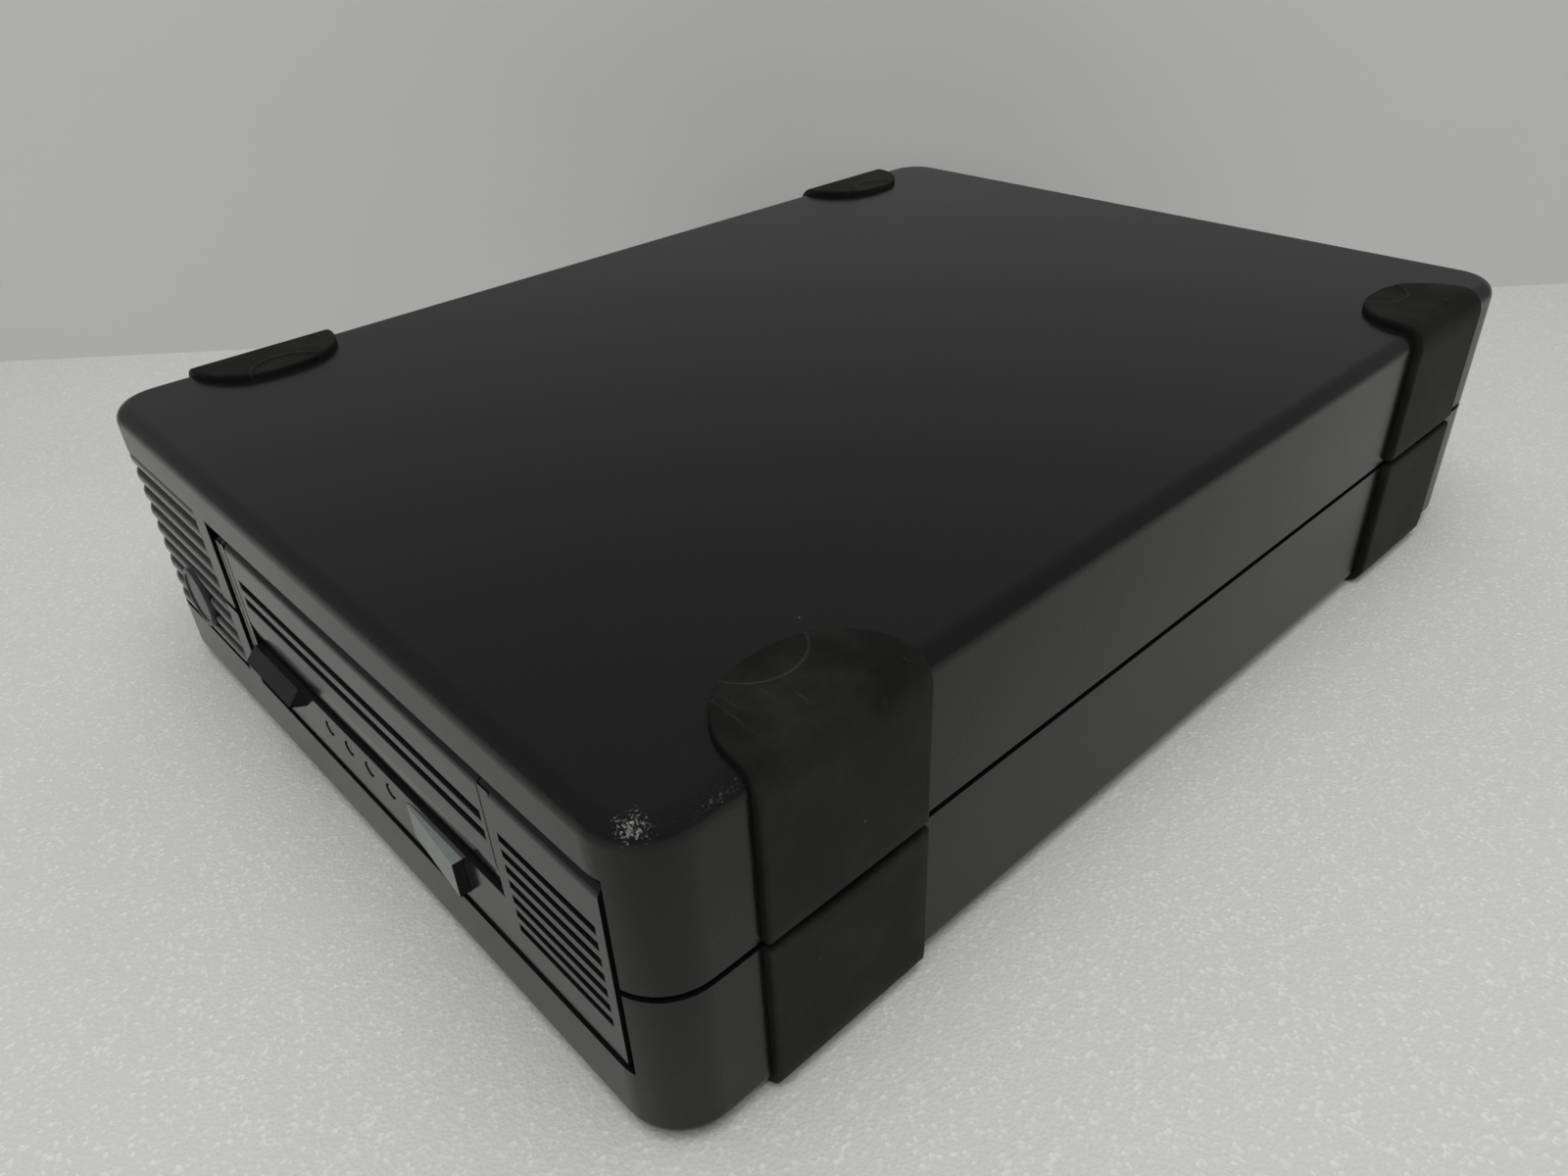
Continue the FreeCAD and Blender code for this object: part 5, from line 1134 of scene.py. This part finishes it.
class TAPEDRIVE_OT_screws(bpy.types.Operator):
    """Build the pan-head screws with cross recesses that hold the fan, the drive and the shells"""

    bl_idname = "tapedrive.screws"
    bl_label = "Screws"

    def execute(self, context):
        sizes = context.scene.tape_drive_sizes
        finish = machined_metal("Steel, black oxide, screws", "#3A3A3C", 0.38)
        radius = sizes.screw_head_radius
        # Each group's screws with the way that they point and how high their heads are.
        groups = (("shell_screws", Z_AXIS, 2.2 * MM), ("drive_screws", Z_AXIS, 2.2 * MM),
                  ("fan_screws", -Y_AXIS, 1.8 * MM))
        tree = points_tree()
        for node, axis, head in groups:
            low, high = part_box(node)
            if axis.z > 0:
                length = high.z - low.z - head
                seats = [Vector((x, y, low.z + head)) for x in (low.x + radius, high.x - radius)
                         for y in (low.y + radius, high.y - radius)]
            else:
                length = high.y - low.y - head
                seats = [Vector((x, high.y - head, z)) for x in (low.x + radius, high.x - radius)
                         for z in (low.z + radius, high.z - radius)]
            mesh = screw_part(radius, head, length, finish)
            mesh.transform(axis.to_track_quat("Z", "Y").to_matrix().to_4x4())
            part = bpy.data.objects.new("screw_part", mesh)
            spots = bpy.data.meshes.new("screw_spots")
            spots.from_pydata([tuple(p) for p in seats], [], [])
            result = repeated(spots, tree, node + "_shown", Part=part, Material=finish)
            bpy.data.objects.remove(part)
            show_in_place(result, node, "unit", finish)
        return {"FINISHED"}


class TAPEDRIVE_OT_inside(bpy.types.Operator):
    """Finish the drive's metalwork, its mechanism and the power supply"""

    bl_idname = "tapedrive.inside"
    bl_label = "Inside"

    def execute(self, context):
        dress(plated_steel("Zinc plate, chassis", "#8F9294"), "drive_chassis", "drive_cover")
        dress(plated_steel("Zinc plate, carrier", "#979A9C", 0.3, 5.0), "carrier_plate", "carrier_rail_left",
              "carrier_rail_right")
        dress(acetal("Acetal, white", "#CFCDC4"), "drive_spindle", "take_up_reel")
        dress(machined_metal("Die-cast aluminium, machined", "#A9ABAC", 0.35, 0.8), "tape_path_plate",
              "head_block", "psu_heatsink")
        rollers = [node for node in NODES if node.startswith("guide_roller_")]
        dress(machined_metal("Ground steel, rollers", "#B9BABC", 0.16, 0.25), *rollers)
        dress(solder_mask("Solder mask on glass-epoxy"), "front_board", "drive_board", "psu_board")
        dress(glass_filled_nylon("Ferrite and polyester tape", "#5A4420", 0.45), "psu_transformer")
        dress(satin_abs("Sleeve, shrunk, capacitors", linear("#1A2233"), 0.22, 0.05), "psu_capacitors")
        return {"FINISHED"}


# ---------------------------------------------------------------- stage
CAMERA_PLACE = Vector((0.20469, -0.20539, 0.18439))
CAMERA_AZIMUTH = 48.387
CAMERA_ELEVATION = 33.214
CAMERA_ROLL = 2.858
CAMERA_LENS = 26.43
SENSOR_WIDTH = 36.0
NEAREST_SEEN = 0.01
FARTHEST_SEEN = 20.0
WALL_DISTANCE = 0.50        # from the camera, along the floor
WALL_HEIGHT = 1.1
WALL_HALF_WIDTH = 1.6
FLOOR_HALF = 3.0
LAMP_PLACE = (0.33, -0.3, 1.3)
LAMP_SIZE = 1.2
LAMP_POWER = 15.0
ROOM_WHITE = (1.0, 1.0, 0.985, 1.0)
FILL_STRENGTH = 0.35
GLOSS_STRENGTH = 0.25       # dimmer than the fill, so that gloss shows a dim room
SEEN_STRENGTH = 0.62


def view_direction(azimuth, elevation):
    """Unit vector from the object back to the camera."""
    a = math.radians(azimuth)
    e = math.radians(elevation)
    return Vector((math.sin(a) * math.cos(e), -math.cos(a) * math.cos(e), math.sin(e)))


def floor_mesh():
    size = FLOOR_HALF
    corners = [(-size, -size, 0), (size, -size, 0), (size, size, 0), (-size, size, 0)]
    ground = bpy.data.meshes.new("stage_floor")
    ground.from_pydata(corners, [], [(0, 1, 2, 3)])
    return ground


def wall_mesh():
    """Upright sheet behind the object, square to the camera's heading."""
    back = view_direction(CAMERA_AZIMUTH, 0)
    along = Vector((back.y, -back.x, 0))
    foot = Vector((CAMERA_PLACE.x, CAMERA_PLACE.y, 0)) - back * WALL_DISTANCE
    left = foot - along * WALL_HALF_WIDTH
    right = foot + along * WALL_HALF_WIDTH
    top = Vector((0, 0, WALL_HEIGHT))
    wall = bpy.data.meshes.new("stage_wall")
    wall.from_pydata([tuple(p) for p in (left, right, right + top, left + top)], [], [(0, 1, 2, 3)])
    if wall.polygons[0].normal.dot(back) < 0:
        wall.flip_normals()
    return wall


def studio_world(wall_colour):
    """Soft even light. Gloss and the camera each get a strength of their own."""
    world = bpy.data.worlds.new("Studio")
    world.use_nodes = True
    tree = world.node_tree
    tree.nodes.clear()
    path = add_node(tree, "ShaderNodeLightPath").outputs
    fill = add_node(tree, "ShaderNodeBackground", {"Color": ROOM_WHITE, "Strength": FILL_STRENGTH})
    gloss = add_node(tree, "ShaderNodeBackground", {"Color": ROOM_WHITE, "Strength": GLOSS_STRENGTH})
    seen = add_node(tree, "ShaderNodeBackground", {"Color": opaque(wall_colour), "Strength": SEEN_STRENGTH})
    inner = add_node(tree, "ShaderNodeMixShader", {0: path["Is Glossy Ray"], 1: fill.outputs["Background"],
                                                   2: gloss.outputs["Background"]})
    outer = add_node(tree, "ShaderNodeMixShader", {0: path["Is Camera Ray"], 1: inner.outputs["Shader"],
                                                   2: seen.outputs["Background"]})
    add_node(tree, "ShaderNodeOutputWorld", {"Surface": outer.outputs["Shader"]})
    return world


def ceiling_lamp():
    """Square panel overhead, aimed at the origin; gloss doesn't mirror it."""
    lamp = bpy.data.lights.new("Ceiling panel", "AREA")
    lamp.shape = "RECTANGLE"
    lamp.size = LAMP_SIZE
    lamp.size_y = LAMP_SIZE
    lamp.energy = LAMP_POWER
    holder = bpy.data.objects.new("ceiling_panel", lamp)
    holder.location = LAMP_PLACE
    holder.visible_glossy = False
    holder.rotation_euler = (Vector((0, 0, 0)) - holder.location).to_track_quat("-Z", "Y").to_euler()
    return holder


def viewing_camera():
    camera = bpy.data.cameras.new("camera")
    camera.lens = CAMERA_LENS
    camera.sensor_width = SENSOR_WIDTH
    camera.clip_start = NEAREST_SEEN
    camera.clip_end = FARTHEST_SEEN
    eye = bpy.data.objects.new("camera", camera)
    away = view_direction(CAMERA_AZIMUTH, CAMERA_ELEVATION)
    level = (-away).to_track_quat("-Z", "Y").to_matrix().to_4x4()
    roll = Matrix.Rotation(math.radians(-CAMERA_ROLL), 4, "Z")
    eye.matrix_world = Matrix.Translation(CAMERA_PLACE) @ level @ roll
    return eye


class TAPEDRIVE_OT_stage(bpy.types.Operator):
    """Set the floor, the wall, the light and the camera"""

    bl_idname = "tapedrive.stage"
    bl_label = "Stage"

    def execute(self, context):
        finishes = context.scene.tape_drive_finishes
        add_piece(floor_mesh(), foam_sheet("Packing foam, white", finishes.floor_colour))
        backdrop = add_piece(wall_mesh(), painted_wall("Emulsion, pale grey", finishes.wall_colour))
        backdrop.visible_glossy = False
        context.scene.world = studio_world(finishes.wall_colour)
        context.scene.collection.objects.link(ceiling_lamp())
        eye = viewing_camera()
        context.scene.collection.objects.link(eye)
        context.scene.camera = eye
        context.scene.view_settings.view_transform = "Standard"
        return {"FINISHED"}


class TAPEDRIVE_PT_panel(bpy.types.Panel):
    """Lists the pieces that the add-on builds"""

    bl_idname = "TAPEDRIVE_PT_panel"
    bl_label = "Tape drive"
    bl_space_type = "VIEW_3D"
    bl_region_type = "UI"
    bl_category = "Tape drive"

    def draw(self, context):
        for piece in OPERATORS:
            self.layout.operator(piece.bl_idname)


OPERATORS = (TAPEDRIVE_OT_case, TAPEDRIVE_OT_grille, TAPEDRIVE_OT_badge, TAPEDRIVE_OT_rubber,
             TAPEDRIVE_OT_bezel, TAPEDRIVE_OT_lights, TAPEDRIVE_OT_button, TAPEDRIVE_OT_rear,
             TAPEDRIVE_OT_fan, TAPEDRIVE_OT_screws, TAPEDRIVE_OT_inside, TAPEDRIVE_OT_stage)
CLASSES = (TapeDriveSizes, TapeDriveFinishes, *OPERATORS, TAPEDRIVE_PT_panel)


def register():
    for kind in CLASSES:
        bpy.utils.register_class(kind)
    bpy.types.Scene.tape_drive_sizes = bpy.props.PointerProperty(type=TapeDriveSizes)
    bpy.types.Scene.tape_drive_finishes = bpy.props.PointerProperty(type=TapeDriveFinishes)


def unregister():
    del bpy.types.Scene.tape_drive_finishes
    del bpy.types.Scene.tape_drive_sizes
    for kind in reversed(CLASSES):
        bpy.utils.unregister_class(kind)


def main():
    register()
    for piece in OPERATORS:
        group, name = piece.bl_idname.split(".")
        getattr(getattr(bpy.ops, group), name)()


if __name__ == "__main__":
    main()
